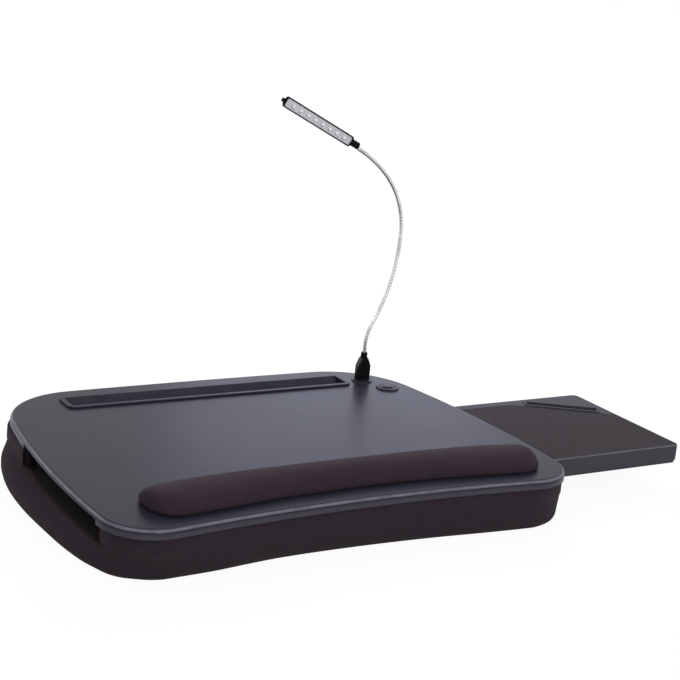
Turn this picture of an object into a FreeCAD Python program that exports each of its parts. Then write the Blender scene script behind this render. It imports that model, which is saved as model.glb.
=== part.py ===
import FreeCAD, Part
import math
import os
import re
import Sketcher
from FreeCAD import Placement, Rotation, Vector

# Driving sizes in millimetres and degrees. X runs along the tray's width, with +X to the right,
# Y from the front to the rear and Z up from the middle of the cushion's underside.
SIZES = {
    # Tray outline from above: eight tangent arcs, the front one curving in towards the user
    "front_mid": 175.7,
    "front_radius": 1600,
    "front_corner": 48,
    "side_half": 245,
    "side_peak": 70,
    "side_radius": 1150,
    "rear_corner": 88,
    "rear_mid": 188,
    "rear_radius": 6000,
    # Moulded deck: plate, rounded lip and the skirt that hangs from it
    "deck_top": 52,
    "plate": 3,
    "skirt_height": 9,
    "skirt_wall": 3,
    "lip_round": 4,
    "notch_lift": 4.5,
    "rib_thick": 2,
    "rib_drop": 10,
    "rib_length": 16,
    "rib_pitch": 48,
    "rib_count": 5,
    # Fits
    "fit_gap": 0.3,
    "overrun": 1,
    # Cushion: height, swell past the deck's edge, drawn-in lower edge and fabric
    "cushion_height": 21.2,
    "cushion_tuck": 3.2,
    "cushion_swell": 9.5,
    "cushion_rear_swell": 3,
    "cushion_round": 11,
    "skin": 1.2,
    "bond_gap": 0.3,
    # Fabric walls between the cushion and the skirt
    "wall_cover": 2.8,
    "wall_cover_tuck": 3,
    # Pan that closes the deck from below
    "pan_floor": 2.5,
    "pan_wall": 2.5,
    "opening_room": 8,
    # Deck screws, their bosses and the pan's pads
    "boss_dia": 8,
    "pad_dia": 11,
    "pad_rise": 2,
    "screw_dia": 3,
    "screw_head": 6,
    "screw_head_high": 2,
    "screw_pilot": 2.6,
    "screw_reach": 14,
    "screw_clear": 12.5,
    # Sliding deck
    "slide_end": 9,
    "slide_depth": 177,
    "slide_height": 17,
    "slide_base": 3,
    "slide_lift": 2,
    "slide_setback": 41,
    "slide_shift": 184,
    "slide_wall": 2.5,
    "slide_plate": 3,
    "slide_corner": 7,
    "slide_round": 1.4,
    "base_inset": 1.2,
    "stop_length": 10,
    "stop_width": 30,
    "stop_height": 1.4,
    # Pad inlaid in the sliding deck, with its rear corners cut off
    "pad_thick": 1.5,
    "pad_front": 3,
    "pad_end": 4,
    "pad_rear": 13,
    "pad_cut_along": 99,
    "pad_cut_across": 61.5,
    "pad_gap": 0.2,
    # Corner slots along those cuts
    "corner_length": 84,
    "corner_width": 16,
    "corner_round": 5,
    "corner_rim": 2.6,
    "corner_rim_high": 1.2,
    "corner_wall": 1.6,
    "corner_depth": 12,
    "corner_gap": 1.5,
    # Rails of the sliding deck
    "rail_end": 20,
    "rail_wall": 2.5,
    "rail_gap": 0.5,
    "rail_ledge": 8,
    "rail_flange": 3,
    "rail_foot": 10,
    "rail_foot_thick": 2,
    "rail_screw_dia": 2.5,
    "rail_screw_head": 5,
    "rail_screw_head_high": 1.6,
    # Rear slot: a trough with a raised rim
    "slot_end": 79.5,
    "slot_width": 36,
    "slot_back": 44,
    "slot_round": 8,
    "slot_rim": 5,
    "slot_rim_high": 2.2,
    "slot_rim_round": 1,
    "slot_wall": 2,
    "slot_depth": 14,
    "slot_floor": 12,
    # Wrist rest
    "rest_end": 43,
    "rest_shift": 5,
    "rest_front": 168.5,
    "rest_depth": 67.5,
    "rest_rise": 17,
    "rest_edge": 9,
    # Lamp socket
    "socket_in": 59,
    "socket_back": 48,
    "bezel_dia": 24,
    "bezel_rise": 1.6,
    "bezel_barrel": 17,
    "bezel_drop": 8,
    "tip_width": 12,
    "tip_thick": 4.5,
    "tip_length": 11.8,
    "tip_wall": 0.4,
    "tip_insert": 1.8,
    "port_wall": 0.4,
    "port_drop": 0.6,
    "port_height": 13.8,
    "tongue_width": 10.4,
    "tongue_thick": 1.3,
    "tongue_height": 9,
    # Power button and its ring
    "button_in": 45,
    "button_back": 80.4,
    "ring_dia": 26,
    "ring_bore": 18,
    "ring_rise": 1.8,
    "ring_barrel": 20.6,
    "ring_drop": 6,
    "button_dia": 17.2,
    "button_step_dia": 12,
    "button_step": 1,
    "button_rise": 3.2,
    "button_skirt": 3,
    "button_crown": 0.8,
    "stem_dia": 6,
    "switch_side": 12,
    "switch_height": 6,
    "plunger_dia": 4,
    "plunger_sunk": 3,
    "plunger_proud": 2,
    # Circuit board on the pan's posts
    "board_in": 52,
    "board_back": 68.5,
    "board_width": 34,
    "board_length": 57,
    "board_cut_x": 14,
    "board_cut_y": 22,
    "board_thick": 1.6,
    "post_dia": 7,
    "post_in": 8,
    "board_screw_dia": 2.2,
    "board_screw_head": 4.4,
    "board_screw_head_high": 1.4,
    "board_screw_reach": 6,
    # Battery well in the cushion
    "bay_in": 77,
    "bay_back": 93,
    "bay_length": 62,
    "bay_width": 48,
    "bay_wall": 2,
    "bay_rim": 0.8,
    "door_level": 5.9,
    "door_thick": 2,
    "hinge_dia": 3.2,
    "hinge_pin": 1.6,
    "hinge_in": 2.4,
    "cell_dia": 10.5,
    "cell_length": 44.5,
    "cell_nub_dia": 3.8,
    "cell_nub": 0.8,
    "cell_pitch": 13,
    "cell_count": 3,
    "contact_side": 8,
    "lead_dia": 1.6,
    "lead_pitch": 4,
    "lead_hole": 9,
    "lead_in": 59,
    "lead_back": 76,
    # Lamp: plug body, strain relief, gooseneck and head
    "plug_gap": 0.4,
    "plug_width": 16.5,
    "plug_depth": 8,
    "plug_height": 25,
    "plug_shoulder": 16,
    "plug_top_width": 8.5,
    "plug_round": 1.6,
    "relief_height": 6.6,
    "relief_dia": 8,
    "relief_top_dia": 7.2,
    "relief_groove": 0.5,
    "relief_ribs": 3,
    "neck_dia": 4.6,
    "neck_rise": 17,
    "neck_lean": 29,
    "neck_first_radius": 50,
    "neck_second_radius": 208,
    "neck_bend": 45,
    "neck_bend_radius": 97,
    "neck_over": 18.5,
    "neck_over_radius": 146,
    "collar_length": 10,
    "collar_dia": 7.6,
    "collar_groove": 0.8,
    "collar_ribs": 3,
    "head_roll": 82,
    "head_length": 94,
    "head_width": 12,
    "head_depth": 5.6,
    "head_corner": 3.2,
    "head_round": 1.6,
    "head_wall": 1.1,
    "head_recess": 2.4,
    "nub_dia": 4.4,
    "nub_length": 3,
    "led_board_thick": 1,
    "led_count": 8,
    "led_pitch": 10.2,
    "led_dia": 4.6,
    "led_base": 0.5,
}

# Deck screws: shares of the half width in the front, middle and rear rows, mirrored to the left
FRONT_SCREW_SHARES = (0.78, 0.27)
MIDDLE_SCREW_SHARES = (0.87, 0.29)
REAR_SCREW_SHARES = (0.49,)
# Front and rear rows: shares of the outline's front and rear
FRONT_ROW_SHARE, REAR_ROW_SHARE = 0.91, 0.9
# Screws of the sliding deck: shares of its half length and half depth
SLIDE_SCREW_SHARES = ((-0.9, -0.8), (0, -0.8), (0.9, -0.8), (-0.47, 0.62), (0, 0.62), (0.47, 0.62))
# Rail screws: shares of the rail's half length
RAIL_SCREW_SHARES = (-0.86, -0.3, 0.3, 0.86)
# Cushion sections from the underside up: share of the height, then of the drawn-in edge, front and sides
CUSHION_SHARES = ((0, 1, 1), (0.16, 0.34, 0.36), (0.5, 0.04, 0), (0.82, 0, 0.1), (1, 0, 0.45))
# Wrist rest sections from the middle to its right end: shares of its half length, front, depth,
# rise and edge
REST_SHARES = (
    (0, 0.914, 0.859, 1, 1),
    (0.4, 0.935, 0.904, 1, 1),
    (0.76, 0.988, 1, 1, 1),
    (0.88, 1, 0.985, 0.99, 0.985),
    (0.95, 0.99, 0.91, 0.94, 0.92),
    (0.985, 0.962, 0.77, 0.82, 0.79),
    (1, 0.928, 0.6, 0.65, 0.61),
)
# Posts that carry the circuit board: shares of its half length
POST_SHARES = (-0.79, 0.4)
TOLERANCE = 1e-4
UP = Vector(0, 0, 1)

# Places, measured in from the widest part of the sides and from the rear edge
SLIDE_LENGTH = "(2 * (side_half - slide_end))"
RAIL_LENGTH = "(2 * (side_half - rail_end))"
SLOT_LENGTH = "(2 * (side_half - slot_end))"
SLOT_Y = "(rear_mid - slot_back)"
REST_HALF = "(side_half - rest_end)"
SOCKET_X, SOCKET_Y = "(side_half - socket_in)", "(rear_mid - socket_back)"
BUTTON_X, BUTTON_Y = "(side_half - button_in)", "(rear_mid - button_back)"
BOARD_X, BOARD_Y = "(side_half - board_in)", "(rear_mid - board_back)"
BAY_X, BAY_Y = "(side_half - bay_in)", "(rear_mid - bay_back)"
LEAD_X, LEAD_Y = "(side_half - lead_in)", "(rear_mid - lead_back)"
# Levels, from the sizes
PLATE_UNDER = "(deck_top - plate)"
SKIRT_END = "(deck_top - skirt_height)"
PAN_UNDER = "(cushion_height + bond_gap)"
PAN_TOP = f"({PAN_UNDER} + pan_floor)"
PAD_TOP = f"({PAN_TOP} + pad_rise)"
SLIDE_UNDER = f"({PAN_TOP} + slide_lift)"
SLIDE_SEAM = f"({SLIDE_UNDER} + slide_base)"
SLIDE_TOP = f"({SLIDE_SEAM} + slide_height)"
BOARD_TOP = "(deck_top - port_drop - port_height)"
BOARD_UNDER = f"({BOARD_TOP} - board_thick)"
SWITCH_TOP = f"({BOARD_TOP} + switch_height)"
PLUG_UNDER = "(deck_top + bezel_rise + plug_gap)"
PLUG_TOP = f"({PLUG_UNDER} + plug_height)"
# Side openings that the sliding deck runs through
OPENING_FRONT = "(-slide_setback - slide_depth / 2 - opening_room)"
OPENING_REAR = "(slide_depth / 2 - slide_setback + opening_room)"
# Insets of the walls from the deck's outline
WALL_COVER_INSET = "(skirt_wall + fit_gap)"
PAN_INSET = f"({WALL_COVER_INSET} + wall_cover + fit_gap)"
# Corner slots: turn, and place from the middle of the sliding deck
CORNER_TURN = "atan(pad_cut_across / pad_cut_along)"
CORNER_OFF = "(corner_gap + corner_width / 2)"
CORNER_X = f"({SLIDE_LENGTH} / 2 - pad_end - pad_cut_along / 2 + {CORNER_OFF} * sin({CORNER_TURN}))"
CORNER_Y = f"(slide_depth / 2 - pad_rear - pad_cut_across / 2 + {CORNER_OFF} * cos({CORNER_TURN}))"
CORNER_CUT_LENGTH = "(corner_length - 2 * corner_rim + 2 * corner_wall + 2 * fit_gap)"
CORNER_CUT_WIDTH = "(corner_width - 2 * corner_rim + 2 * corner_wall + 2 * fit_gap)"
# Gooseneck: top of its lower half
NECK_MID_X = f"({SOCKET_X} + (neck_first_radius + neck_second_radius) * (1 - cos(neck_lean)))"
NECK_MID_Z = f"({PLUG_TOP} + neck_rise + (neck_first_radius + neck_second_radius) * sin(neck_lean))"

doc = FreeCAD.newDocument("lap_tray")
dims = doc.addObject("Spreadsheet::Sheet", "dims")
for row, (alias, number) in enumerate(SIZES.items(), 1):
    dims.set(f"A{row}", alias)
    dims.set(f"B{row}", str(number))
    dims.setAlias(f"B{row}", alias)
doc.recompute()
pieces = []


def sized(text):
    """An expression in which each size's name points at the sheet."""
    return re.sub(r"[a-z]\w*", lambda word: "dims." + word[0] if word[0] in SIZES else word[0], text)


def value(text):
    """The number that such an expression stands for."""
    return float(dims.evalExpression(sized(text)))


def point(x, y, z):
    return Vector(value(x), value(y), value(z))


def move(thing, holder, x, y, z, turn="0"):
    """Bind a placement to the sizes; turn is about Z, in degrees."""
    for axis, text in zip("xyz", (x, y, z)):
        if text != "0":
            thing.setExpression(f".{holder}.Base.{axis}", sized(text))
    if turn != "0":
        thing.setExpression(f".{holder}.Rotation.Angle", sized(turn))


def body(label, x="0", y="0", z="0", turn="0", keep=True):
    made = doc.addObject("PartDesign::Body", label)
    made.Label = label
    move(made, "Placement", x, y, z, turn)
    if keep:
        pieces.append(made)
    return made


def sketch(owner, name, plane="XY_Plane", x="0", y="0", z="0", turn="0"):
    drawing = owner.newObject("Sketcher::SketchObject", f"{owner.Name}_{name}")
    support = next(feature for feature in owner.Origin.OriginFeatures if feature.Role == plane)
    drawing.AttachmentSupport = (support, "")
    drawing.MapMode = "FlatFace"
    move(drawing, "AttachmentOffset", x, y, z, turn)
    return drawing


def hold(drawing, kind, *places, text):
    """Add a dimension and bind it to the sizes."""
    index = drawing.addConstraint(Sketcher.Constraint(kind, *places, value(text)))
    drawing.setExpression(f"Constraints[{index}]", sized(text))


def hold_point(drawing, geometry, end, x, y):
    hold(drawing, "DistanceX", -1, 1, geometry, end, text=x)
    hold(drawing, "DistanceY", -1, 1, geometry, end, text=y)


def polygon(drawing, corners):
    """A closed outline of straight sides."""
    ends = [point(x, y, "0") for x, y in corners]
    first = drawing.GeometryCount
    count = len(corners)
    for index, end in enumerate(ends):
        drawing.addGeometry(Part.LineSegment(end, ends[(index + 1) % count]))
    for index, (x, y) in enumerate(corners):
        follower = first + (index + 1) % count
        drawing.addConstraint(Sketcher.Constraint("Coincident", first + index, 2, follower, 1))
        hold_point(drawing, first + index, 1, x, y)


def rectangle(drawing, width, depth, x="0", y="0"):
    left, right = f"{x} - ({width}) / 2", f"{x} + ({width}) / 2"
    near, far = f"{y} - ({depth}) / 2", f"{y} + ({depth}) / 2"
    polygon(drawing, ((left, near), (right, near), (right, far), (left, far)))


def circle(drawing, diameter, x="0", y="0"):
    ring = Part.Circle(point(x, y, "0"), UP, value(diameter) / 2)
    index = drawing.addGeometry(ring)
    hold(drawing, "Diameter", index, text=diameter)
    hold_point(drawing, index, 3, x, y)


def rounded(drawing, width, depth, radius, x="0", y="0"):
    """A rectangle about x, y whose four corners are arcs."""
    corner = value(radius)
    middle = point(x, y, "0")
    reach = point(f"({width}) / 2", f"({depth}) / 2", "0")
    first = drawing.GeometryCount
    signs = ((1, -1), (1, 1), (-1, 1), (-1, -1))
    for index, (across, along) in enumerate(signs):
        centre = middle + Vector(across * (reach.x - corner), along * (reach.y - corner), 0)
        start = (index - 1) * math.pi / 2
        arc = Part.ArcOfCircle(Part.Circle(centre, UP, corner), start, start + math.pi / 2)
        drawing.addGeometry(arc)
    for index in range(4):
        tail = drawing.Geometry[first + index].EndPoint
        tip = drawing.Geometry[first + (index + 1) % 4].StartPoint
        drawing.addGeometry(Part.LineSegment(tail, tip))
    for index in range(4):
        side = first + 4 + index
        drawing.addConstraint(Sketcher.Constraint("Tangent", first + index, 2, side, 1))
        drawing.addConstraint(Sketcher.Constraint("Tangent", side, 2, first + (index + 1) % 4, 1))
        hold(drawing, "Radius", first + index, text=radius)
    for index, (across, along) in ((0, signs[0]), (2, signs[2])):
        hold_point(
            drawing, first + index, 3,
            f"{x} + {across} * (({width}) / 2 - ({radius}))",
            f"{y} + {along} * (({depth}) / 2 - ({radius}))",
        )


def crossing(near, near_reach, far, far_reach):
    """The right-hand point at given distances from two centres."""
    gap = far - near
    along = (near_reach ** 2 - far_reach ** 2 + gap.Length ** 2) / (2 * gap.Length)
    across = math.sqrt(near_reach ** 2 - along ** 2)
    line = gap / gap.Length
    side = Vector(-line.y, line.x, 0) * across
    return max((near + line * along + side, near + line * along - side), key=lambda end: end.x)


def bearing(centre, end):
    return math.atan2(end.y - centre.y, end.x - centre.x)


def tray_outline(drawing, inset="0", side="", rear="", corners=""):
    """The tray's outline, drawn in by inset; side and rear may be drawn in by other amounts."""
    side, rear = side or inset, rear or inset
    front_corner = f"front_corner - ({corners or inset})"
    rear_corner = f"rear_corner - ({corners or inset})"
    radii = (f"front_radius + ({inset})", front_corner, f"side_radius - ({side})", rear_corner,
             f"rear_radius - ({rear})")
    front_r, corner_r, side_r, back_r, rear_r = (value(text) for text in radii)
    front = -point("0", "front_mid + front_radius", "0")
    flank = point("side_half - side_radius", "-side_peak", "0")
    back = point("0", "rear_mid - rear_radius", "0")
    corner = crossing(front, front_r + corner_r, flank, side_r - corner_r)
    shoulder = crossing(flank, side_r - back_r, back, rear_r - back_r)
    pairs = ((corner, front), (flank, corner), (flank, shoulder), (back, shoulder))
    turns = [bearing(*pair) for pair in pairs]
    right = ((corner, corner_r, turns[0], turns[1]), (flank, side_r, turns[1], turns[2]),
             (shoulder, back_r, turns[2], turns[3]))
    left = [(Vector(-c.x, c.y, 0), r, math.pi - b, math.pi - a) for c, r, a, b in reversed(right)]
    dip = bearing(front, corner)
    rear_arc = (back, rear_r, turns[3], math.pi - turns[3])
    arcs = ((front, front_r, dip, math.pi - dip), *right, rear_arc, *left)
    first = drawing.GeometryCount
    for centre, radius, start, end in arcs:
        drawing.addGeometry(Part.ArcOfCircle(Part.Circle(centre, UP, radius), start, end))
    ids = [first + index for index in range(len(arcs))]
    drawing.addConstraint(Sketcher.Constraint("Tangent", ids[0], 1, ids[1], 1))
    for before, after in zip(ids[1:], ids[2:]):
        drawing.addConstraint(Sketcher.Constraint("Tangent", before, 2, after, 1))
    drawing.addConstraint(Sketcher.Constraint("Tangent", ids[7], 2, ids[0], 2))
    for index, text in zip(ids, radii):
        hold(drawing, "Radius", index, text=text)
    for one, twin in ((1, 7), (2, 6), (3, 5)):
        drawing.addConstraint(Sketcher.Constraint("Equal", ids[one], ids[twin]))
    for index in (ids[0], ids[4]):
        drawing.addConstraint(Sketcher.Constraint("PointOnObject", index, 3, -2))
    drawing.addConstraint(Sketcher.Constraint("Symmetric", ids[2], 3, ids[6], 3, -2))
    hold(drawing, "DistanceY", ids[0], 3, -1, 1, text="front_mid + front_radius")
    hold(drawing, "DistanceY", ids[4], 3, -1, 1, text="rear_radius - rear_mid")
    hold(drawing, "DistanceX", ids[2], 3, -1, 1, text="side_radius - side_half")
    hold(drawing, "DistanceY", ids[2], 3, -1, 1, text="side_peak")


def loaf(drawing, front, depth, rise, edge):
    """A flat-bottomed section: two edge arcs that start upright and a crown arc tangent to both."""
    near, wide, high, bend = (value(text) for text in (front, depth, rise, edge))
    crown_text = f"((({depth}) / 2 - {edge})^2 + ({rise})^2 - ({edge})^2) / (2 * ({rise} - {edge}))"
    crown = value(crown_text)
    top = Vector(near + wide / 2, high - crown, 0)
    left = Vector(near + bend, 0, 0)
    right = Vector(near + wide - bend, 0, 0)
    turn = bearing(top, right)
    upward = UP
    drawing.addGeometry(Part.ArcOfCircle(Part.Circle(left, upward, bend), math.pi - turn, math.pi))
    drawing.addGeometry(Part.ArcOfCircle(Part.Circle(top, upward, crown), turn, math.pi - turn))
    drawing.addGeometry(Part.ArcOfCircle(Part.Circle(right, upward, bend), 0, turn))
    drawing.addGeometry(Part.LineSegment(Vector(near, 0, 0), Vector(near + wide, 0, 0)))
    drawing.addConstraint(Sketcher.Constraint("Tangent", 0, 1, 1, 2))
    drawing.addConstraint(Sketcher.Constraint("Tangent", 2, 2, 1, 1))
    for index, end in ((0, 2), (2, 1)):
        drawing.addConstraint(Sketcher.Constraint("PointOnObject", index, 3, -1))
        drawing.addConstraint(Sketcher.Constraint("PointOnObject", index, end, -1))
    drawing.addConstraint(Sketcher.Constraint("Equal", 0, 2))
    drawing.addConstraint(Sketcher.Constraint("Coincident", 3, 1, 0, 2))
    drawing.addConstraint(Sketcher.Constraint("Coincident", 3, 2, 2, 1))
    hold(drawing, "Radius", 0, text=edge)
    hold(drawing, "Radius", 1, text=crown_text)
    hold(drawing, "DistanceX", -1, 1, 0, 2, text=front)
    hold(drawing, "DistanceX", -1, 1, 2, 1, text=f"{front} + {depth}")


def pad(owner, drawing, length, both=False, down=False):
    feature = owner.newObject("PartDesign::Pad", drawing.Name + "_pad")
    feature.Profile = drawing
    feature.SideType = "Symmetric" if both else "One side"
    feature.Reversed = down
    feature.setExpression("Length", sized(length))
    return feature


def pocket(owner, drawing, length, both=False, up=False):
    feature = owner.newObject("PartDesign::Pocket", drawing.Name + "_cut")
    feature.Profile = drawing
    feature.SideType = "Symmetric" if both else "One side"
    feature.Reversed = up
    feature.setExpression("Length", sized(length))
    return feature


def turned(owner, drawing):
    """A full turn about the sketch's upright axis."""
    feature = owner.newObject("PartDesign::Revolution", drawing.Name + "_turn")
    feature.Profile = drawing
    feature.ReferenceAxis = (drawing, ["V_Axis"])
    return feature


def loft(owner, sections):
    feature = owner.newObject("PartDesign::AdditiveLoft", owner.Name + "_loft")
    feature.Profile = sections[0]
    feature.Sections = sections[1:]
    return feature


def fillet(owner, base, radius, chosen):
    """Round the edges of a feature that a test picks."""
    doc.recompute()
    names = [f"Edge{index}" for index, edge in enumerate(base.Shape.Edges, 1) if chosen(edge)]
    feature = owner.newObject("PartDesign::Fillet", base.Name + "_round")
    feature.Base = (base, names)
    feature.setExpression("Radius", sized(radius))
    return feature


def at_level(text):
    """A test for edges that lie flat at one height."""
    height = value(text)

    def flat(edge):
        box = edge.BoundBox
        return abs(box.ZMin - height) < TOLERANCE and abs(box.ZMax - height) < TOLERANCE

    return flat


def block(label, size, middle, under, keep=False):
    """A plain box about a middle in plan, standing on a level."""
    made = doc.addObject("Part::Box", label)
    for side, text in zip(("Length", "Width", "Height"), size):
        made.setExpression(side, sized(text))
    move(made, "Placement", f"{middle[0]} - ({size[0]}) / 2", f"{middle[1]} - ({size[1]}) / 2", under)
    if keep:
        pieces.append(made)
    return made


def rod(label, diameter, height, x, y, z, keep=False):
    made = doc.addObject("Part::Cylinder", label)
    made.setExpression("Radius", sized(f"({diameter}) / 2"))
    made.setExpression("Height", sized(height))
    move(made, "Placement", x, y, z)
    if keep:
        pieces.append(made)
    return made


def joined(kind, label, base, tool, keep=False):
    """Part::Cut, Part::Common or Part::Fuse of two objects."""
    made = doc.addObject(f"Part::{kind}", label)
    made.Base = base
    made.Tool = tool
    if keep:
        pieces.append(made)
    return made


def group(label, solids):
    """Identical small solids that share one node."""
    made = doc.addObject("Part::Feature", label)
    made.Shape = Part.makeCompound(solids)
    pieces.append(made)


def screw(head, head_high, shank, reach, seat, up):
    """A screw whose head's inner face lies at seat; up points from the head along the shank."""
    cap = Part.makeCylinder(value(head) / 2, value(head_high), seat - up * value(head_high), up)
    return cap.fuse(Part.makeCylinder(value(shank) / 2, value(reach), seat, up)).removeSplitter()


def screw_places():
    """Deck screws on the right, then their mirror images; the middle row clears the side openings."""
    rows = ((FRONT_SCREW_SHARES, f"-{FRONT_ROW_SHARE} * front_mid"),
            (MIDDLE_SCREW_SHARES, f"{OPENING_REAR} + screw_clear"),
            (REAR_SCREW_SHARES, f"{REAR_ROW_SHARE} * rear_mid"))
    right = [(f"{share} * side_half", y) for shares, y in rows for share in shares]
    return right + [(f"-{x}", y) for x, y in right]


def slide_screw_places():
    half_length, half_depth = f"{SLIDE_LENGTH} / 2", "slide_depth / 2"
    return [(f"{along} * {half_length}", f"{across} * {half_depth}") for along, across in SLIDE_SCREW_SHARES]


def rail_screw_places(sign):
    """Screws of one rail from the middle of the sliding deck; sign is a minus for the front rail."""
    row = f"{sign}(slide_depth / 2 + rail_gap + (rail_wall + rail_foot) / 2)"
    return [(f"{share} * {RAIL_LENGTH} / 2", row) for share in RAIL_SCREW_SHARES]


def post_places():
    column = f"{BOARD_X} - board_width / 2 + post_in"
    return [(column, f"{BOARD_Y} + {share} * board_length / 2") for share in POST_SHARES]


def make_top_deck():
    deck = body("top_deck")
    outline = sketch(deck, "outline", z=SKIRT_END)
    tray_outline(outline)
    shell = pad(deck, outline, "skirt_height")
    fillet(deck, shell, "lip_round", at_level("deck_top"))
    hollow = sketch(deck, "hollow", z=SKIRT_END)
    tray_outline(hollow, "skirt_wall")
    pocket(deck, hollow, "skirt_height - plate", up=True)
    # The skirt is cut up over both side openings
    notch = sketch(deck, "notch", "YZ_Plane")
    low, high = f"{SKIRT_END} - overrun", f"{SKIRT_END} + notch_lift"
    polygon(notch, ((OPENING_FRONT, low), (OPENING_REAR, low), (OPENING_REAR, high), (OPENING_FRONT, high)))
    pocket(deck, notch, "2 * side_half + 2 * overrun", both=True)
    holes = sketch(deck, "holes", z="deck_top")
    cut_length = f"{SLOT_LENGTH} - 2 * slot_rim + 2 * slot_wall + 2 * fit_gap"
    cut_width = "slot_width - 2 * slot_rim + 2 * slot_wall + 2 * fit_gap"
    rounded(holes, cut_length, cut_width, "slot_round - slot_rim + slot_wall + fit_gap", y=SLOT_Y)
    circle(holes, "bezel_barrel + 2 * fit_gap", SOCKET_X, SOCKET_Y)
    circle(holes, "ring_barrel + 2 * fit_gap", BUTTON_X, BUTTON_Y)
    pocket(deck, holes, "plate + overrun")
    rib_sketch = sketch(deck, "rib", z=PLATE_UNDER)
    rib_x = "-rib_pitch * (rib_count - 1) / 2"
    rib_y = f"({OPENING_FRONT} - front_mid + {PAN_INSET} + pan_wall) / 2"
    rectangle(rib_sketch, "rib_thick", "rib_length", rib_x, rib_y)
    rib = pad(deck, rib_sketch, "rib_drop", down=True)
    ribs = deck.newObject("PartDesign::LinearPattern", "deck_ribs")
    ribs.Originals = [rib]
    ribs.Direction = (rib_sketch, ["H_Axis"])
    ribs.setExpression("Length", sized("rib_pitch * (rib_count - 1)"))
    ribs.setExpression("Occurrences", sized("rib_count"))
    deck.Tip = ribs
    bosses = sketch(deck, "bosses", z=PAD_TOP)
    pilots = sketch(deck, "pilots", z=PAD_TOP)
    for x, y in screw_places():
        circle(bosses, "boss_dia", x, y)
        circle(pilots, "screw_pilot", x, y)
    pad(deck, bosses, f"{PLATE_UNDER} - {PAD_TOP}")
    pocket(deck, pilots, "screw_reach", up=True)


def make_base_pan():
    pan = body("base_pan")
    outline = sketch(pan, "outline", z=PAN_UNDER)
    tray_outline(outline, PAN_INSET)
    pad(pan, outline, f"{PLATE_UNDER} - {PAN_UNDER}")
    hollow = sketch(pan, "hollow", z=PAN_TOP)
    tray_outline(hollow, f"{PAN_INSET} + pan_wall")
    pocket(pan, hollow, f"{PLATE_UNDER} - {PAN_TOP} + overrun", up=True)
    mouth = sketch(pan, "mouth", "YZ_Plane")
    high = f"{PLATE_UNDER} + overrun"
    polygon(mouth, ((OPENING_FRONT, PAN_TOP), (OPENING_REAR, PAN_TOP), (OPENING_REAR, high),
                    (OPENING_FRONT, high)))
    pocket(pan, mouth, "2 * side_half", both=True)
    pads = sketch(pan, "pads", z=PAN_TOP)
    sinks = sketch(pan, "sinks", z=PAN_UNDER)
    holes = sketch(pan, "holes", z=PAN_UNDER)
    for x, y in screw_places():
        circle(pads, "pad_dia", x, y)
        circle(sinks, "screw_head + 2 * fit_gap", x, y)
        circle(holes, "screw_dia + 2 * fit_gap", x, y)
    pad(pan, pads, "pad_rise")
    pocket(pan, sinks, "screw_head_high + fit_gap", up=True)
    for x, y in rail_screw_places("-") + rail_screw_places(""):
        circle(holes, "rail_screw_dia", x, f"{y} - slide_setback")
    circle(holes, "lead_hole", LEAD_X, LEAD_Y)
    pocket(pan, holes, "pan_floor + pad_rise + overrun", up=True)
    # Ribs that stop the sliding deck at either end of its travel
    stops = sketch(pan, "stops", z=PAN_TOP)
    for side in ("", "-"):
        reach = f"{side}(slide_shift + stop_length + fit_gap)"
        rectangle(stops, "stop_length", "stop_width", reach, "-slide_setback")
    pad(pan, stops, "stop_height")
    posts = sketch(pan, "posts", z=PAN_TOP)
    post_holes = sketch(pan, "post_holes", z=BOARD_UNDER)
    for x, y in post_places():
        circle(posts, "post_dia", x, y)
        circle(post_holes, "board_screw_dia", x, y)
    pad(pan, posts, f"{BOARD_UNDER} - {PAN_TOP}")
    pocket(pan, post_holes, "board_screw_reach - board_thick")
    seat = f"{PAN_UNDER} + screw_head_high"
    group("deck_screws", [
        screw("screw_head", "screw_head_high", "screw_pilot", "screw_reach", point(x, y, seat), UP)
        for x, y in screw_places()
    ])


def make_wall_covers():
    ring = body("wall_cover_ring", keep=False)
    band = sketch(ring, "band", z=f"{PAN_UNDER}")
    tray_outline(band, WALL_COVER_INSET)
    tray_outline(band, f"{WALL_COVER_INSET} + wall_cover")
    pad(ring, band, f"{SKIRT_END} + wall_cover_tuck - {PAN_UNDER}")
    width = "2 * side_half"
    front_depth, rear_depth = f"2 * rear_mid + {OPENING_FRONT}", f"2 * rear_mid - {OPENING_REAR}"
    front_middle = f"({OPENING_FRONT} - ({front_depth}) / 2)"
    rear_middle = f"({OPENING_REAR} + ({rear_depth}) / 2)"
    for name, depth, middle in (("front", front_depth, front_middle), ("rear", rear_depth, rear_middle)):
        half = block(f"{name}_half", (width, depth, "deck_top"), ("0", middle), "0")
        joined("Common", f"{name}_wall_cover", ring, half, keep=True)


def cushion_form(label, skin):
    """The cushion's crowned form, drawn in by skin on the outside and underneath."""
    form = body(label, keep=False)
    sections = []
    for index, (level, front, side) in enumerate(CUSHION_SHARES):
        height = f"{skin} + {level} * (cushion_height - {skin})"
        drawing = sketch(form, f"section_{index}", z=height)
        tray_outline(
            drawing,
            f"cushion_tuck + {front} * cushion_round + {skin}",
            side=f"{side} * cushion_round - cushion_swell + {skin}",
            rear=f"{side} * cushion_round - cushion_rear_swell + {skin}",
            corners=f"{skin}",
        )
        sections.append(drawing)
    loft(form, sections)
    return form


def make_cushion():
    outer = cushion_form("cushion_outside", "0")
    cavity = cushion_form("cushion_cavity", "skin")
    core = cushion_form("cushion_core", "(skin + fit_gap)")
    bay_size = ("bay_length + 2 * fit_gap", "bay_width + 2 * fit_gap", "cushion_height + 3 * overrun")
    bay = block("cushion_bay", bay_size, (BAY_X, BAY_Y), "-overrun")
    bowl = joined("Cut", "cushion_bowl", outer, cavity)
    joined("Cut", "cushion_cover", bowl, bay, keep=True)
    joined("Cut", "cushion_foam", core, bay, keep=True)


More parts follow.
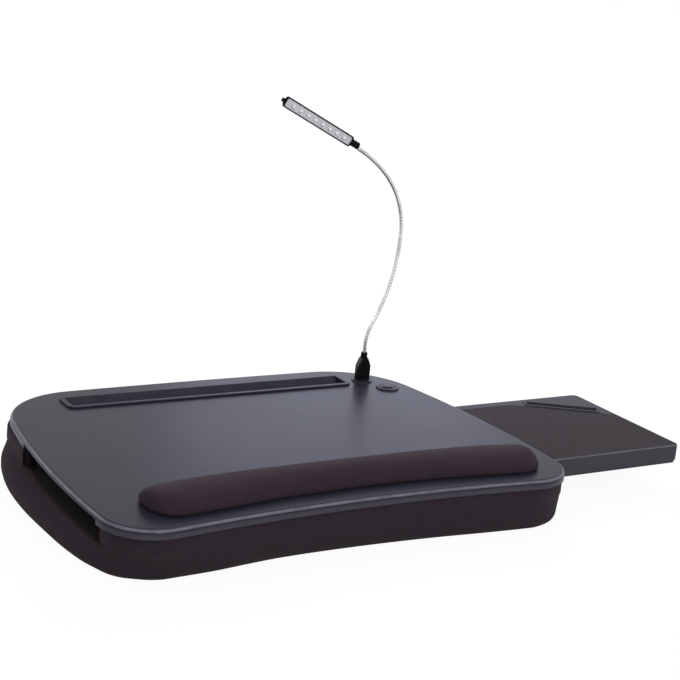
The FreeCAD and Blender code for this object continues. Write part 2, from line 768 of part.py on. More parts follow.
def rest_form(label, skin, keep=False):
    """The wrist rest's form, drawn in by skin all round but not underneath."""
    form = body(label, z="deck_top", keep=keep)
    sections = []
    left = [(-along, *rest) for along, *rest in reversed(REST_SHARES[1:])]
    for index, (along, front, depth, rise, edge) in enumerate(left + list(REST_SHARES)):
        place = f"rest_shift + {along} * ({REST_HALF} - {skin})"
        drawing = sketch(form, f"section_{index}", "YZ_Plane", z=place)
        loaf(
            drawing,
            f"({skin} - {front} * rest_front)",
            f"({depth} * rest_depth - 2 * {skin})",
            f"({rise} * rest_rise - {skin})",
            f"({edge} * rest_edge - {skin})",
        )
        sections.append(drawing)
    loft(form, sections)
    return form


def make_wrist_rest():
    outer = rest_form("rest_outside", "0")
    cavity = rest_form("rest_cavity", "skin")
    joined("Cut", "wrist_rest_cover", outer, cavity, keep=True)
    rest_form("wrist_rest_foam", "(skin + fit_gap)", keep=True)


def make_rear_slot():
    trough = body("rear_slot_tray", y=SLOT_Y, z="deck_top")
    inner_length, inner_width = f"({SLOT_LENGTH} - 2 * slot_rim)", "(slot_width - 2 * slot_rim)"
    rim = sketch(trough, "rim")
    rounded(rim, SLOT_LENGTH, "slot_width", "slot_round")
    flange = pad(trough, rim, "slot_rim_high")
    fillet(trough, flange, "slot_rim_round", at_level("slot_rim_high"))
    box = sketch(trough, "box", z="-slot_depth - slot_wall")
    rounded(box, f"{inner_length} + 2 * slot_wall", f"{inner_width} + 2 * slot_wall",
            "slot_round - slot_rim + slot_wall")
    pad(trough, box, "slot_depth + slot_wall")
    # The trough's rear wall slopes back, so what stands in it leans
    well = sketch(trough, "well", "YZ_Plane")
    near, far, floor_end = f"-{inner_width} / 2", f"{inner_width} / 2", f"slot_floor - {inner_width} / 2"
    high = "slot_rim_high + overrun"
    polygon(well, ((near, "-slot_depth"), (floor_end, "-slot_depth"), (far, "slot_rim_high"),
                   (far, high), (near, high)))
    pocket(trough, well, inner_length, both=True)


def pad_outline(drawing, inset="0"):
    """The inlaid pad: a rectangle with both rear corners cut off."""
    end = f"({SLIDE_LENGTH} / 2 - pad_end - {inset})"
    near, far = f"(pad_front + {inset} - slide_depth / 2)", f"(slide_depth / 2 - pad_rear - {inset})"
    cut_x, cut_y = f"({end} - pad_cut_along)", f"({far} - pad_cut_across)"
    polygon(drawing, ((f"-{end}", near), (end, near), (end, cut_y), (cut_x, far),
                      (f"-{cut_x}", far), (f"-{end}", cut_y)))


def make_corner_slot(label, side):
    """A short trough along the pad's cut corner; side is a minus sign on the left."""
    turn = f"-{CORNER_TURN}" if side == "" else CORNER_TURN
    x, y = f"slide_shift + {side}{CORNER_X}", f"{CORNER_Y} - slide_setback"
    trough = body(label, x, y, SLIDE_TOP, turn)
    inner_length, inner_width = "(corner_length - 2 * corner_rim)", "(corner_width - 2 * corner_rim)"
    inner_round = "(corner_round - corner_rim)"
    rim = sketch(trough, "rim")
    rounded(rim, "corner_length", "corner_width", "corner_round")
    pad(trough, rim, "corner_rim_high")
    box = sketch(trough, "box", z="-corner_depth - corner_wall")
    rounded(box, f"{inner_length} + 2 * corner_wall", f"{inner_width} + 2 * corner_wall",
            f"{inner_round} + corner_wall")
    pad(trough, box, "corner_depth + corner_wall")
    well = sketch(trough, "well", z="corner_rim_high")
    rounded(well, inner_length, inner_width, inner_round)
    pocket(trough, well, "corner_rim_high + corner_depth")


def make_mouse_deck():
    top = body("mouse_deck_top", "slide_shift", "-slide_setback", SLIDE_SEAM)
    outline = sketch(top, "outline")
    rounded(outline, SLIDE_LENGTH, "slide_depth", "slide_corner")
    shell = pad(top, outline, "slide_height")
    fillet(top, shell, "slide_round", at_level("slide_height"))
    hollow = sketch(top, "hollow")
    inner_length, inner_depth = f"{SLIDE_LENGTH} - 2 * slide_wall", "slide_depth - 2 * slide_wall"
    rounded(hollow, inner_length, inner_depth, "slide_corner - slide_wall")
    pocket(top, hollow, "slide_height - slide_plate", up=True)
    recess = sketch(top, "recess", z="slide_height")
    pad_outline(recess)
    pocket(top, recess, "pad_thick")
    for name, side, turn in (("right", "", f"-{CORNER_TURN}"), ("left", "-", CORNER_TURN)):
        cut = sketch(top, f"{name}_cut", x=f"{side}{CORNER_X}", y=CORNER_Y, z="slide_height", turn=turn)
        cut_round = "corner_round - corner_rim + corner_wall + fit_gap"
        rounded(cut, CORNER_CUT_LENGTH, CORNER_CUT_WIDTH, cut_round)
        pocket(top, cut, "slide_plate + overrun")
    bosses = sketch(top, "bosses")
    pilots = sketch(top, "pilots")
    base = body("mouse_deck_bottom", "slide_shift", "-slide_setback", SLIDE_UNDER)
    panel = sketch(base, "panel")
    base_length, base_depth = f"{SLIDE_LENGTH} - 2 * base_inset", "slide_depth - 2 * base_inset"
    rounded(panel, base_length, base_depth, "slide_corner - base_inset")
    holes = sketch(base, "holes")
    sinks = sketch(base, "sinks")
    for x, y in slide_screw_places():
        circle(bosses, "boss_dia", x, y)
        circle(pilots, "screw_pilot", x, y)
        circle(holes, "screw_dia + 2 * fit_gap", x, y)
        circle(sinks, "screw_head + 2 * fit_gap", x, y)
    pad(top, bosses, "slide_height - slide_plate")
    pocket(top, pilots, "screw_reach - slide_base", up=True)
    pad(base, panel, "slide_base")
    pocket(base, sinks, "screw_head_high", up=True)
    pocket(base, holes, "slide_base + overrun", up=True)
    stop = sketch(base, "stop")
    rectangle(stop, "stop_length", "stop_width")
    pad(base, stop, "stop_height", down=True)
    inlay = body("mouse_pad", "slide_shift", "-slide_setback", f"{SLIDE_TOP} - pad_thick")
    cloth = sketch(inlay, "cloth")
    pad_outline(cloth, "pad_gap")
    pad(inlay, cloth, "pad_thick")
    make_corner_slot("corner_slot_right", "")
    make_corner_slot("corner_slot_left", "-")
    seat = f"{SLIDE_UNDER} + screw_head_high"
    group("mouse_deck_screws", [
        screw("screw_head", "screw_head_high - fit_gap", "screw_pilot", "screw_reach - slide_base",
              point(f"slide_shift + {x}", f"{y} - slide_setback", seat), UP)
        for x, y in slide_screw_places()
    ])


def make_rails():
    screws = []
    for label, sign in (("front_guide_rail", "-"), ("rear_guide_rail", "")):
        rail = body(label, y="-slide_setback")
        section = sketch(rail, "section", "YZ_Plane")
        inner = "(slide_depth / 2 + rail_gap)"
        outer, foot = f"({inner} + rail_wall)", f"({inner} + rail_foot)"
        ledge, flange = f"({inner} - rail_ledge)", f"({inner} - rail_flange)"
        ledge_top, flange_under = f"{SLIDE_UNDER} - fit_gap", f"{SLIDE_TOP} + fit_gap"
        foot_top = f"{PAN_TOP} + rail_foot_thick"
        polygon(section, [(f"{sign}{across}", height) for across, height in (
            (ledge, PAN_TOP), (foot, PAN_TOP), (foot, foot_top), (outer, foot_top), (outer, PLATE_UNDER),
            (flange, PLATE_UNDER), (flange, flange_under), (inner, flange_under), (inner, ledge_top),
            (ledge, ledge_top),
        )])
        pad(rail, section, RAIL_LENGTH, both=True)
        holes = sketch(rail, "holes", z=PAN_TOP)
        for x, y in rail_screw_places(sign):
            circle(holes, "rail_screw_dia + fit_gap", x, y)
            seat = point(x, f"{y} - slide_setback", foot_top)
            screws.append(screw("rail_screw_head", "rail_screw_head_high", "rail_screw_dia",
                                "rail_foot_thick + pan_floor", seat, -UP))
        pocket(rail, holes, "rail_foot_thick + overrun", up=True)
    group("rail_screws", screws)


def make_socket():
    bezel = body("usb_bezel", SOCKET_X, SOCKET_Y, "deck_top")
    half = sketch(bezel, "half", "XZ_Plane")
    polygon(half, (("0", "-bezel_drop"), ("bezel_barrel / 2", "-bezel_drop"), ("bezel_barrel / 2", "0"),
                   ("bezel_dia / 2", "0"), ("bezel_dia / 2 - bezel_rise / 2", "bezel_rise"),
                   ("0", "bezel_rise")))
    turned(bezel, half)
    inner = ("(tip_width + 2 * fit_gap)", "(tip_thick + 2 * fit_gap)")
    outer = tuple(f"({side} + 2 * port_wall)" for side in inner)
    opening = sketch(bezel, "opening", z="bezel_rise + overrun")
    rectangle(opening, *outer)
    pocket(bezel, opening, "bezel_rise + bezel_drop + 2 * overrun")
    place = (SOCKET_X, SOCKET_Y)
    shell = block("port_outside", (*outer, "port_height"), place, BOARD_TOP)
    hollow = block("port_inside", (*inner, "port_height + overrun"), place, BOARD_TOP)
    joined("Cut", "usb_receptacle", shell, hollow, keep=True)
    # The tongue stands in the front half of the plug's tip, the insert fills its rear half
    tongue_y = f"({SOCKET_Y} - tip_thick / 2 + tip_wall + fit_gap + tongue_thick / 2)"
    tongue_size = ("tongue_width", "tongue_thick", "tongue_height")
    block("usb_tongue", tongue_size, (SOCKET_X, tongue_y), BOARD_TOP, keep=True)
    tip_under = f"{PLUG_UNDER} - tip_length"
    tip = block("tip_outside", ("tip_width", "tip_thick", "tip_length"), place, tip_under)
    tip_hole = ("(tip_width - 2 * tip_wall)", "(tip_thick - 2 * tip_wall)")
    tip_hollow = block("tip_inside", (*tip_hole, "tip_length + 2 * overrun"), place,
                       f"{tip_under} - overrun")
    joined("Cut", "plug_shell", tip, tip_hollow, keep=True)
    insert_y = f"({SOCKET_Y} + tip_thick / 2 - tip_wall - tip_insert / 2)"
    insert_size = (tip_hole[0], "tip_insert", "tip_length")
    block("plug_insert", insert_size, (SOCKET_X, insert_y), tip_under, keep=True)


def make_switch():
    ring = body("switch_bezel", BUTTON_X, BUTTON_Y, "deck_top")
    half = sketch(ring, "half", "XZ_Plane")
    polygon(half, (("ring_bore / 2", "-ring_drop"), ("ring_barrel / 2", "-ring_drop"),
                   ("ring_barrel / 2", "0"), ("ring_dia / 2", "0"),
                   ("ring_dia / 2 - ring_rise / 2", "ring_rise"), ("ring_bore / 2", "ring_rise")))
    turned(ring, half)
    button = body("power_button", BUTTON_X, BUTTON_Y, "deck_top")
    cap = sketch(button, "cap", "XZ_Plane")
    stem_end = f"{SWITCH_TOP} + plunger_proud - deck_top"
    step, top = "button_rise - button_step", "button_rise"
    polygon(cap, (("0", stem_end), ("stem_dia / 2", stem_end), ("stem_dia / 2", "-button_skirt"),
                  ("button_dia / 2", "-button_skirt"), ("button_dia / 2", f"{step} - button_crown"),
                  ("button_dia / 2 - button_crown", step), ("button_step_dia / 2", step),
                  ("button_step_dia / 2 - button_crown", top), ("0", top)))
    turned(button, cap)
    place = (BUTTON_X, BUTTON_Y)
    case = block("switch_case", ("switch_side", "switch_side", "switch_height"), place, BOARD_TOP)
    bore_under = f"{SWITCH_TOP} - plunger_sunk - plunger_proud - fit_gap"
    bore = rod("switch_bore", "plunger_dia + 2 * fit_gap", "switch_height", *place, bore_under)
    joined("Cut", "switch_body", case, bore, keep=True)
    plunger_under = f"{SWITCH_TOP} - plunger_sunk"
    rod("switch_plunger", "plunger_dia", "plunger_sunk + plunger_proud", *place, plunger_under, keep=True)
    board = body("circuit_board", BOARD_X, BOARD_Y, BOARD_UNDER)
    blank = sketch(board, "blank")
    right, far = "board_width / 2", "board_length / 2"
    polygon(blank, ((f"-{right}", f"-{far}"), (right, f"-{far}"), (right, f"{far} - board_cut_y"),
                    (f"{right} - board_cut_x", far), (f"-{right}", far)))
    pad(board, blank, "board_thick")
    holes = sketch(board, "holes")
    for x, y in post_places():
        circle(holes, "board_screw_dia + fit_gap", f"{x} - {BOARD_X}", f"{y} - {BOARD_Y}")
    pocket(board, holes, "board_thick + overrun", up=True)
    group("board_screws", [
        screw("board_screw_head", "board_screw_head_high", "board_screw_dia", "board_screw_reach",
              point(x, y, BOARD_TOP), -UP)
        for x, y in post_places()
    ])


def make_battery():
    well = body("battery_box", BAY_X, BAY_Y)
    outline = sketch(well, "outline", z="bay_rim")
    rectangle(outline, "bay_length", "bay_width")
    pad(well, outline, f"{PAN_UNDER} - bay_rim")
    hollow = sketch(well, "hollow", z="bay_rim")
    inner_length, inner_width = "(bay_length - 2 * bay_wall)", "(bay_width - 2 * bay_wall)"
    rectangle(hollow, inner_length, inner_width)
    pocket(well, hollow, f"{PAN_UNDER} - bay_rim - bay_wall", up=True)
    # The door turns on a pin along its rear edge
    hinge_y, hinge_z = f"({inner_width} / 2 - hinge_in)", "(door_level + door_thick / 2)"
    pin_hole = sketch(well, "pin_hole", "YZ_Plane")
    circle(pin_hole, "hinge_pin + 2 * fit_gap", hinge_y, hinge_z)
    pocket(well, pin_hole, "bay_length + 2 * overrun", both=True)
    door = body("battery_door", BAY_X, BAY_Y)
    plate = sketch(door, "plate", z="door_level")
    near = f"fit_gap - {inner_width} / 2"
    half = f"({inner_length} / 2 - fit_gap)"
    polygon(plate, ((f"-{half}", near), (half, near), (half, hinge_y), (f"-{half}", hinge_y)))
    pad(door, plate, "door_thick")
    turns = (("barrel", "hinge_dia", f"2 * {half}"), ("pin", "hinge_pin", "bay_length"))
    for name, diameter, length in turns:
        turn = sketch(door, name, "YZ_Plane")
        circle(turn, diameter, hinge_y, hinge_z)
        pad(door, turn, length, both=True)
    # Cells side by side along X, under the roof of the well, with a contact at each end
    roof = value(f"{PAN_UNDER} - bay_wall - fit_gap")
    cells, contacts = [], []
    for index in range(int(value("cell_count"))):
        y = value(f"{BAY_Y} + cell_pitch * ({index} - (cell_count - 1) / 2)")
        z = roof - value("cell_dia") / 2
        facing = 1 - 2 * (index % 2)
        start = Vector(value(BAY_X) - facing * value("cell_length") / 2, y, z)
        along = Vector(facing, 0, 0)
        tube = Part.makeCylinder(value("cell_dia") / 2, value("cell_length"), start, along)
        tip = start + along * value("cell_length")
        nub = Part.makeCylinder(value("cell_nub_dia") / 2, value("cell_nub"), tip, along)
        cells.append(tube.fuse(nub).removeSplitter())
        for end in (-1, 1):
            reach = value("cell_length / 2 + cell_nub + fit_gap")
            wall = value("bay_length / 2 - bay_wall")
            side = value("contact_side")
            corner = Vector(value(BAY_X) + (reach if end > 0 else -wall), y - side / 2, z - side / 2)
            contacts.append(Part.makeBox(wall - reach, side, side, corner))
    group("batteries", cells)
    group("battery_contacts", contacts)
    leads = []
    for sign in ("", "-"):
        foot = point(f"{LEAD_X} + {sign}lead_pitch / 2", LEAD_Y, PAN_UNDER)
        leads.append(Part.makeCylinder(value("lead_dia") / 2, value(f"{BOARD_UNDER} - {PAN_UNDER}"), foot))
    group("battery_leads", leads)


def ribbed(label, holder, lengths, start_dia, end_dia, bore, groove, ribs):
    """A tapering sleeve with grooves round it, turned about its own upright axis."""
    sleeve = body(label, *holder)
    half = sketch(sleeve, "half", "XZ_Plane")
    outer = []
    count = int(value(ribs))
    steps = 2 * count
    for step in range(steps):
        cut = f" - {groove}" if step % 2 else ""
        for edge in (step, step + 1):
            share = f"{edge} / {steps}"
            radius = f"({start_dia} + ({end_dia} - {start_dia}) * {share}) / 2{cut}"
            outer.append((radius, f"{lengths} * {share}"))
    inner = f"({bore}) / 2"
    polygon(half, [(inner, "0"), *outer, (inner, lengths)])
    turned(sleeve, half)
    return sleeve


def pipe(owner, arcs, run="0"):
    """The neck's tube: an upright run, then arcs, each with a radius, a turn and whether it goes left."""
    path = sketch(owner, "path", "XZ_Plane")
    here, heading, tail = point("0", run, "0"), math.pi / 2, 2
    if here.y:
        path.addGeometry(Part.LineSegment(Vector(), here))
        path.addConstraint(Sketcher.Constraint("Coincident", 0, 1, -1, 1))
        path.addConstraint(Sketcher.Constraint("Vertical", 0))
        hold(path, "DistanceY", 0, 1, 0, 2, text=run)
    for radius_text, turn_text, left in arcs:
        radius, turn = value(radius_text), math.radians(value(turn_text))
        spin = 1 if left else -1
        centre = here + Vector(-math.sin(heading), math.cos(heading), 0) * spin * radius
        start = bearing(centre, here)
        ends = (start, start + turn) if left else (start - turn, start)
        index = path.addGeometry(Part.ArcOfCircle(Part.Circle(centre, UP, radius), *ends))
        head = 1 if left else 2
        if index == 0:
            path.addConstraint(Sketcher.Constraint("Coincident", 0, head, -1, 1))
            path.addConstraint(Sketcher.Constraint("PointOnObject", 0, 3, -1))
        else:
            path.addConstraint(Sketcher.Constraint("Tangent", index - 1, tail, index, head))
        hold(path, "Radius", index, text=radius_text)
        spread = path.addConstraint(Sketcher.Constraint("Angle", index, turn))
        path.setExpression(f"Constraints[{spread}]", sized(f"{turn_text} * 1 deg"))
        heading += spin * turn
        here = centre - Vector(-math.sin(heading), math.cos(heading), 0) * spin * radius
        tail = 3 - head
    ring = sketch(owner, "ring")
    circle(ring, "neck_dia")
    tube = owner.newObject("PartDesign::AdditivePipe", owner.Name + "_tube")
    tube.Profile = ring
    tube.Spine = path


def head_place(along="0"):
    """The lamp head's frame at the neck's end: X along the head, Z out of its lit face."""
    turned_by = value("neck_bend + neck_over")
    bend, over = math.radians(value("neck_bend")), math.radians(turned_by)
    first, second = value("neck_bend_radius"), value("neck_over_radius")
    across = first * (1 - math.cos(bend)) + second * (math.cos(bend) - math.cos(over))
    rise = first * math.sin(bend) + second * (math.sin(over) - math.sin(bend))
    end = point(NECK_MID_X, SOCKET_Y, NECK_MID_Z) + Vector(-across, 0, rise)
    facing = Rotation(Vector(0, 1, 0), -90 - turned_by) * Rotation(Vector(1, 0, 0), value("head_roll"))
    return Placement(end + facing.multVec(Vector(value(along), 0, 0)), facing)


def make_lamp():
    plug = body("plug_body", SOCKET_X, SOCKET_Y, PLUG_UNDER)
    face = sketch(plug, "face", "XZ_Plane")
    polygon(face, (("-plug_width / 2", "0"), ("plug_width / 2", "0"), ("plug_width / 2", "plug_shoulder"),
                   ("plug_top_width / 2", "plug_height"), ("-plug_top_width / 2", "plug_height"),
                   ("-plug_width / 2", "plug_shoulder")))
    blank = pad(plug, face, "plug_depth", both=True)
    ends = (value("0"), value("plug_height"))

    def flank(edge):
        box = edge.BoundBox
        return not (box.ZLength < TOLERANCE and min(abs(box.ZMin - end) for end in ends) < TOLERANCE)

    fillet(plug, blank, "plug_round", flank)
    ribbed("strain_relief", (SOCKET_X, SOCKET_Y, PLUG_TOP), "relief_height", "relief_dia",
           "relief_top_dia", "neck_dia + fit_gap", "relief_groove", "relief_ribs")
    lower = body("gooseneck_lower", SOCKET_X, SOCKET_Y, PLUG_TOP)
    leans = (("neck_first_radius", "neck_lean", False), ("neck_second_radius", "neck_lean", True))
    pipe(lower, leans, "neck_rise")
    upper = body("gooseneck_upper", NECK_MID_X, SOCKET_Y, NECK_MID_Z)
    pipe(upper, (("neck_bend_radius", "neck_bend", True), ("neck_over_radius", "neck_over", True)))


def make_lamp_head():
    collar = ribbed("head_collar", (), "collar_length", "collar_dia", "collar_dia", "collar_groove",
                    "collar_groove", "collar_ribs")
    collar.Placement = head_place() * Placement(Vector(), Rotation(UP, Vector(1, 0, 0)))
    middle = "head_length / 2"
    shell = body("head_shell")
    outline = sketch(shell, "outline", x=middle, z="-head_depth / 2")
    rounded(outline, "head_length", "head_width", "head_corner")
    blank = pad(shell, outline, "head_depth")
    fillet(shell, blank, "head_round", at_level("-head_depth / 2"))
    recess = sketch(shell, "recess", x=middle, z="head_depth / 2")
    inner_length, inner_width = "(head_length - 2 * head_wall)", "(head_width - 2 * head_wall)"
    rounded(recess, inner_length, inner_width, "head_corner - head_wall")
    pocket(shell, recess, "head_recess")
    nub = sketch(shell, "nub", "YZ_Plane", z="head_length - head_wall")
    circle(nub, "nub_dia")
    pad(shell, nub, "head_wall + nub_length")
    board = body("led_board")
    strip = sketch(board, "strip", x=middle, z="head_depth / 2 - head_recess")
    strip_round = "head_corner - head_wall - fit_gap"
    rounded(strip, f"{inner_length} - 2 * fit_gap", f"{inner_width} - 2 * fit_gap", strip_round)
    pad(board, strip, "led_board_thick")
    frame = head_place("collar_length")
    shell.Placement = frame
    board.Placement = frame
    lights = []
    radius = value("led_dia") / 2
    face = value("head_depth / 2 - head_recess + led_board_thick")
    for index in range(int(value("led_count"))):
        x = value(f"head_length / 2 + led_pitch * ({index} - (led_count - 1) / 2)")
        seat = Vector(x, 0, face)
        top = seat + Vector(0, 0, value("led_base"))
        base = Part.makeCylinder(radius, value("led_base"), seat)
        dome = Part.makeSphere(radius, top, UP, 0, 90, 360)
        light = base.fuse(dome).removeSplitter()
        light.Placement = frame * light.Placement
        lights.append(light)
    group("leds", lights)


def check_and_write():
    doc.recompute()
    for thing in doc.Objects:
        if "Invalid" in thing.State or "Error" in thing.State:
            raise RuntimeError(f"{thing.Name} did not build: {thing.State}")
        if thing.TypeId == "PartDesign::Pocket":
            if thing.Shape.Volume > thing.BaseFeature.Shape.Volume - TOLERANCE:
                raise RuntimeError(f"{thing.Name} cuts nothing")
    for piece in pieces:
        if piece.Shape.isNull() or not piece.Shape.isValid():
            raise RuntimeError(f"{piece.Label} has no valid shape")
    os.makedirs("parts", exist_ok=True)
    for piece in pieces:
        piece.Shape.exportStep(f"parts/{piece.Label}.step")
        print(f"{piece.Label}: {len(piece.Shape.Solids)} solids, {piece.Shape.Volume:.0f} mm3")


make_top_deck()
make_base_pan()
make_wall_covers()
make_cushion()
make_wrist_rest()
make_rear_slot()
make_mouse_deck()
make_rails()
make_socket()
make_switch()
make_battery()
make_lamp()
make_lamp_head()
check_and_write()
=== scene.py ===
import math

import bpy
import numpy as np
from mathutils import Matrix, Vector


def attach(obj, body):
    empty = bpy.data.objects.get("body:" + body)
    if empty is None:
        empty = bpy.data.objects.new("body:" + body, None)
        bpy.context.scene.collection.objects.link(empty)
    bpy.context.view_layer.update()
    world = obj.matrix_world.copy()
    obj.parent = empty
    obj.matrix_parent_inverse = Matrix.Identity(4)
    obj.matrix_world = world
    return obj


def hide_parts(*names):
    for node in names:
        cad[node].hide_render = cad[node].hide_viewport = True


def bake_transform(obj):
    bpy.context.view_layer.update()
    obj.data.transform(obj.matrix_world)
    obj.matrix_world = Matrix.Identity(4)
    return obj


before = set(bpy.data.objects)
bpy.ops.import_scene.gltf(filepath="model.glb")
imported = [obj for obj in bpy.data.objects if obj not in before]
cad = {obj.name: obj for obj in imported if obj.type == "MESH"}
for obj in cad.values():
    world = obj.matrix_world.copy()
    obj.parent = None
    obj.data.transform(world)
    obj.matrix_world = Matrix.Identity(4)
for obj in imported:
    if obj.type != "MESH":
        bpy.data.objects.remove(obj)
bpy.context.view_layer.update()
scene = bpy.context.scene
mm = 0.001
print("frame loaded:", len(cad), "nodes")


# camera at the photograph's viewing angle
shot = {
    "place": (-0.71967, -1.26498, 0.55142),
    "right": (0.85834, -0.50497, 0.09081),
    "up": (0.05817, 0.27163, 0.96064),
    "lens": 82.13,
    "sensor": 36.0,
    "aside": -0.0022,  # share of the picture's width
}


def makeCamera(s):
    right, up = np.array(s["right"]), np.array(s["up"])
    turn = np.eye(4)
    turn[:3, :3] = np.stack([right, up, np.cross(right, up)], 1)
    turn[:3, 3] = s["place"]
    lens = bpy.data.cameras.new("shotLens")
    lens.lens, lens.sensor_width, lens.shift_x = s["lens"], s["sensor"], s["aside"]
    camera = bpy.data.objects.new("shotCamera", lens)
    scene.collection.objects.link(camera)
    camera.matrix_world = Matrix(turn.tolist())
    scene.camera = camera


makeCamera(shot)
print("camera set")


# small tools for node trees
def shade(red, green, blue):
    # display values 0 to 255 as a linear colour, by the sRGB curve
    c = np.array([red, green, blue]) / 255
    linear = np.where(c <= 0.04045, c / 12.92, ((c + 0.055) / 1.055) ** 2.4)
    return (*linear.tolist(), 1.0)


def dimmed(colour, share):
    return tuple(c * share for c in colour[:3]) + (1.0,)


def addNode(tree, kind, values=None, **settings):
    made = tree.nodes.new(kind)
    for key, value in settings.items():
        setattr(made, key, value)
    for key, value in (values or {}).items():
        made.inputs[key].default_value = value
    return made


def wire(tree, source, target):
    tree.links.new(source, target)


def math2(tree, operation, first, second=None):
    made = addNode(tree, "ShaderNodeMath", operation=operation)
    for socket, value in zip(made.inputs, (first, second)):
        if isinstance(value, (int, float)):
            socket.default_value = value
        elif value is not None:
            wire(tree, value, socket)
    return made.outputs[0]


def weighted(tree, first, firstShare, second, secondShare):
    # sum of two values, each times its share
    return math2(tree, "ADD", math2(tree, "MULTIPLY", first, firstShare),
                 math2(tree, "MULTIPLY", second, secondShare))


def span(tree, value, low, high, newLow=0.0, newHigh=1.0, smooth=True):
    limits = {"From Min": low, "From Max": high, "To Min": newLow, "To Max": newHigh}
    made = addNode(tree, "ShaderNodeMapRange", limits)
    made.interpolation_type = "SMOOTHSTEP" if smooth else "LINEAR"
    wire(tree, value, made.inputs["Value"])
    return made.outputs["Result"]


def between(tree, factor, first, second):
    made = addNode(tree, "ShaderNodeMix", data_type="RGBA")
    wire(tree, factor, made.inputs[0])
    for socket, value in zip((made.inputs[6], made.inputs[7]), (first, second)):
        if isinstance(value, tuple):
            socket.default_value = value
        else:
            wire(tree, value, socket)
    return made.outputs[2]


def newGroup(name, vectors, values, outputs):
    # vectors are names of inputs, and values are names of inputs with their defaults
    tree = bpy.data.node_groups.new(name, "ShaderNodeTree")
    for label in vectors:
        tree.interface.new_socket(name=label, in_out="INPUT", socket_type="NodeSocketVector")
    for label, value in values.items():
        socket = tree.interface.new_socket(name=label, in_out="INPUT", socket_type="NodeSocketFloat")
        socket.default_value = value
    for label in outputs:
        tree.interface.new_socket(name=label, in_out="OUTPUT", socket_type="NodeSocketFloat")
    return tree, tree.nodes.new("NodeGroupInput"), tree.nodes.new("NodeGroupOutput")


def useGroup(tree, group, values, vector):
    made = addNode(tree, "ShaderNodeGroup", values, node_tree=group)
    wire(tree, vector, made.inputs["Vector"])
    return made.outputs


# spark-eroded grain of a moulded face: fine pits, and slow blotches where the mould polished up
grainLook = {
    "grain": 1800.0, "pitDetail": 3.0, "pitRough": 0.65, "pitShare": 0.7, "cellShare": 0.3,
    "blotch": 9.0, "blotchDetail": 2.0, "blotchRough": 0.5, "blotchSpan": (0.3, 0.7),
}


def makeMouldGrain(s):
    inputs = {"Grain": s["grain"], "Blotch": s["blotch"]}
    tree, inside, outside = newGroup("mouldGrain", ["Vector"], inputs, ["Height", "Blotch"])
    pits = addNode(tree, "ShaderNodeTexNoise", {"Detail": s["pitDetail"], "Roughness": s["pitRough"]})
    cells = addNode(tree, "ShaderNodeTexVoronoi", feature="F1")
    slow = addNode(tree, "ShaderNodeTexNoise", {"Detail": s["blotchDetail"], "Roughness": s["blotchRough"]})
    for texture, scale in ((pits, "Grain"), (cells, "Grain"), (slow, "Blotch")):
        wire(tree, inside.outputs["Vector"], texture.inputs["Vector"])
        wire(tree, inside.outputs[scale], texture.inputs["Scale"])
    height = weighted(tree, pits.outputs["Fac"], s["pitShare"], cells.outputs["Distance"], s["cellShare"])
    wire(tree, height, outside.inputs["Height"])
    wire(tree, span(tree, slow.outputs["Fac"], *s["blotchSpan"]), outside.inputs["Blotch"])
    return tree


# plain weave: warp shows where the two thread counts' sines have the same sign, weft elsewhere
weaveLook = {
    "threads": 900.0, "threadShare": 0.75,
    "fuzz": 420.0, "fuzzDetail": 4.0, "fuzzRough": 0.7, "fuzzShare": 0.25,
    "slubScale": 70.0, "slubDetail": 3.0, "slubSpan": (0.3, 0.7),
}


def makeClothWeave(s):
    inputs = {"Threads": s["threads"], "Fuzz": s["fuzz"]}
    tree, inside, outside = newGroup("clothWeave", ["Vector"], inputs, ["Height", "Fuzz", "Slub"])
    apart = addNode(tree, "ShaderNodeSeparateXYZ")
    wire(tree, inside.outputs["Vector"], apart.inputs[0])
    turns = math2(tree, "MULTIPLY", inside.outputs["Threads"], math.pi)
    warp = math2(tree, "SINE", math2(tree, "MULTIPLY", apart.outputs["X"], turns))
    weft = math2(tree, "SINE", math2(tree, "MULTIPLY", apart.outputs["Y"], turns))
    over = math2(tree, "GREATER_THAN", math2(tree, "MULTIPLY", warp, weft), 0.0)
    under = math2(tree, "SUBTRACT", 1.0, over)
    threads = weighted(tree, math2(tree, "ABSOLUTE", warp), over, math2(tree, "ABSOLUTE", weft), under)
    fuzz = addNode(tree, "ShaderNodeTexNoise", {"Detail": s["fuzzDetail"], "Roughness": s["fuzzRough"]})
    slub = addNode(tree, "ShaderNodeTexNoise", {"Scale": s["slubScale"], "Detail": s["slubDetail"]})
    for texture in (fuzz, slub):
        wire(tree, inside.outputs["Vector"], texture.inputs["Vector"])
    wire(tree, inside.outputs["Fuzz"], fuzz.inputs["Scale"])
    height = weighted(tree, threads, s["threadShare"], fuzz.outputs["Fac"], s["fuzzShare"])
    wire(tree, height, outside.inputs["Height"])
    wire(tree, fuzz.outputs["Fac"], outside.inputs["Fuzz"])
    wire(tree, span(tree, slub.outputs["Fac"], *s["slubSpan"]), outside.inputs["Slub"])
    return tree


# masks for wear and painted light: the rounded rims where a face turns from up to sideways, lighter partly
# from rubbing and partly as a painted highlight, slow smears, and upright faces below the lip, which take a
# painted tone for the light and shade on them
wearAndLightLook = {
    "rimFrom": (0.25, 0.55), "rimTo": (0.97, 0.8),  # upward share of the normal
    "patchScale": 60.0, "patchDetail": 3.0, "patchSpan": (0.3, 0.65, 0.65, 1.0),
    "smear": 14.0, "smearDetail": 5.0, "smearRough": 0.6, "smearWarp": 0.6, "smearSpan": (0.35, 0.7),
    "lipLevel": (0.0505, 0.0455), "uprightSpan": (0.32, -0.02),
}


